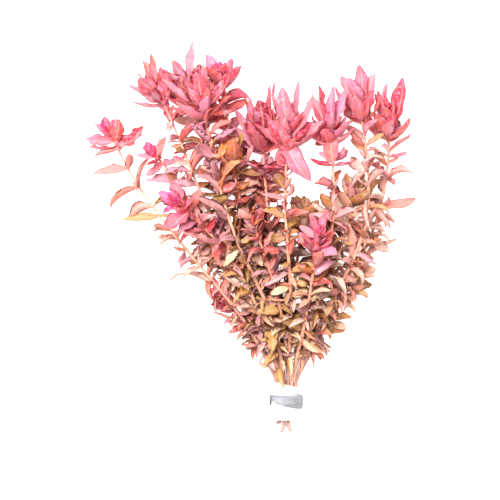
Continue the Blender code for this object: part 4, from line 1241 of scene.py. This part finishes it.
# %% Strip shape
STRIP_PATH = ((1.0, 12.3), (4.4, 12.25), (6.7, 11.4), (7.85, 9.2), (7.95, 6.0), (7.85, 3.2), (7.2, 1.2),
              (5.6, 0.4), (0.0, 0.4), (-5.6, 0.4), (-7.2, 1.2), (-7.85, 3.2), (-7.95, 6.0), (-7.85, 9.6),
              (-6.9, 11.9), (-4.6, 13.1), (-1.5, 13.5), (1.0, 13.75), (4.5, 13.85), (8.0, 13.3))
STRIP_LAP = {11: (-1.8, 3.1), 12: (-0.4, 3.3), 13: (0.7, 3.3), 14: (0.4, 3.3), 15: (-1.0, 3.3),
             16: (-2.1, 3.1), 17: (-2.35, 2.9), 18: (-2.85, 3.1), 19: (-3.4, 3.3)}
STRIP_EDGES = (-2.65, 2.85)
STRIP_THICKNESS = 0.8
STRIP_FINE = 0.35
DENT = 0.16
DENT_LENGTHS = (0.31, 0.13)
DENTED_ABOVE = 2

# Half of the strip's cross-section: shares of its half width and of half its thickness
SECTION_QUARTER = ((1, 0.5), (0.97, 0.86), (0.9, 1), (0.5, 1))


def strip_section():
    """The cross-section, once round, with soft corners."""
    upper = list(SECTION_QUARTER) + [(0, 1)] + [(-s, t) for s, t in reversed(SECTION_QUARTER)]
    return [(-s, -t) for s, t in upper] + upper


def strip_rings():
    path = [Vector((x, 0.0, z)) for x, z in STRIP_PATH]
    chain = smooth_chain(path, STRIP_FINE)
    for centre in chain:
        centre.z = max(centre.z, STRIP_THICKNESS / 2)
    starts = [min(range(len(chain)), key=lambda k: (chain[k] - point).length) for point in path]
    edges = [STRIP_LAP.get(k, STRIP_EDGES) for k in range(len(path))]
    lows, highs = (np.interp(range(len(chain)), starts, [edge[side] for edge in edges]) for side in (0, 1))
    rings = []
    for k, centre in enumerate(chain):
        along = (chain[min(k + 1, len(chain) - 1)] - chain[max(k - 1, 0)]).normalized()
        out = Vector((-along.z, 0, along.x))
        dent = DENT * math.sin(k * DENT_LENGTHS[0]) * math.sin(k * DENT_LENGTHS[1] + 1)
        dent *= 1.0 if centre.z > DENTED_ABOVE else 0.0
        middle, half = (lows[k] + highs[k]) / 2, (highs[k] - lows[k]) / 2
        rings.append([(centre + out * (STRIP_THICKNESS / 2 * t + dent * (1 - s * s * 0.5))
                       + Vector((0, middle + half * s, 0))) * MM for s, t in strip_section()])
    return rings


def strip_loft():
    rings = strip_rings()
    bm = loft(rings)
    bm.verts.ensure_lookup_table()
    bm.faces.new(bm.verts[:len(rings[0])])
    bm.faces.new(bm.verts[-len(rings[0]):][::-1])
    return bm


bent_strip = strip_loft()
print("strip faces:", len(bent_strip.faces))

# %% Lead finish
# Lit and shaded greys of one lead as painted light, and a dark grey for streaks and for painted shade
LEAD_LIT_HALF = paint(146, 146, 150)
LEAD_SHADED_HALF = paint(128, 128, 132)
LEAD_STREAK_AND_SHADE = paint(78, 78, 88)
FOLD_X = 1.0 * MM


def lead_finish():
    material, tree = new_material("soft_lead")
    place_on_object = tree.add("ShaderNodeTexCoord", output="Object")
    stretched = tree.add("ShaderNodeMapping", None, {"Vector": place_on_object, "Scale": (60.0, 900.0, 900.0)})
    lines = tree.add("ShaderNodeTexNoise", None, {"Vector": stretched, "Scale": 1.0, "Detail": 4.0})
    clouds = tree.add("ShaderNodeTexNoise", None, {"Vector": place_on_object, "Scale": 260.0, "Detail": 4.0})
    x = tree.add("ShaderNodeSeparateXYZ", None, {0: place_on_object}, output="X")
    # Painted light: lighter left of the lap's bend, darker right of it
    shaded_right_of_fold = tree.ease(x, FOLD_X - 1.2 * MM, FOLD_X + 1.2 * MM)
    # Painted shade where the strip turns down at its left end
    shaded_left_end = 1.0 - tree.ease(x, -8.0 * MM, -6.4 * MM)
    colour = tree.mix(shaded_right_of_fold, LEAD_LIT_HALF, LEAD_SHADED_HALF)
    colour = tree.mix(tree.ease(lines * 0.6 + clouds * 0.4, 0.42, 0.68) * 0.6, colour, LEAD_STREAK_AND_SHADE)
    colour = tree.mix(shaded_left_end, colour, LEAD_STREAK_AND_SHADE)
    bump = tree.add("ShaderNodeBump", None, {"Strength": 0.35, "Distance": 0.2 * MM, "Height": lines + clouds})
    skin = tree.add("ShaderNodeBsdfPrincipled", None, {
        "Base Color": colour, "Metallic": 0.3, "Roughness": 0.55 + clouds * 0.2, "Normal": bump})
    tree.add("ShaderNodeOutputMaterial", None, {"Surface": skin})
    return material


strip = finish_piece("lead_strip_bent", bent_strip, lead_finish(), "lead_strip")
print("lead finish:", len(strip.active_material.node_tree.nodes), "nodes")

# %% [markdown]
# ## The floor
#
# The floor is a wide, pale and matt sheet just under the bunch. It isn't part of the object.

# %% Floor
def make_floor():
    material, tree = new_material("pale_floor")
    skin = tree.add("ShaderNodeBsdfPrincipled", None, {
        "Base Color": paint(250, 250, 250), "Roughness": 0.9,
        "Emission Color": (1.0, 1.0, 1.0, 1.0), "Emission Strength": FLOOR_GLOW})
    tree.add("ShaderNodeOutputMaterial", None, {"Surface": skin})
    bm = bmesh.new()
    bmesh.ops.create_grid(bm, x_segments=1, y_segments=1, size=FLOOR_SIZE / 2)
    mesh = bpy.data.meshes.new("floor")
    bm.to_mesh(mesh)
    bm.free()
    mesh.materials.append(material)
    floor = bpy.data.objects.new("floor", mesh)
    floor.location = (*PICTURE_CENTRE, -FLOOR_DROP)
    bpy.context.scene.collection.objects.link(floor)
    return floor


floor = make_floor()
print("floor in m:", FLOOR_SIZE, "wide,", round(-floor.location.z / MM, 2), "mm below the bunch")

# %% [markdown]
# ## The size of the solids
#
# The dressed bunch has to stay as large as its solids. The solids' box is printed, in millimetres.

# %% Print the solids' box
print("solids in mm:", [[round(value / MM, 1) for value in corner] for corner in cad_box])
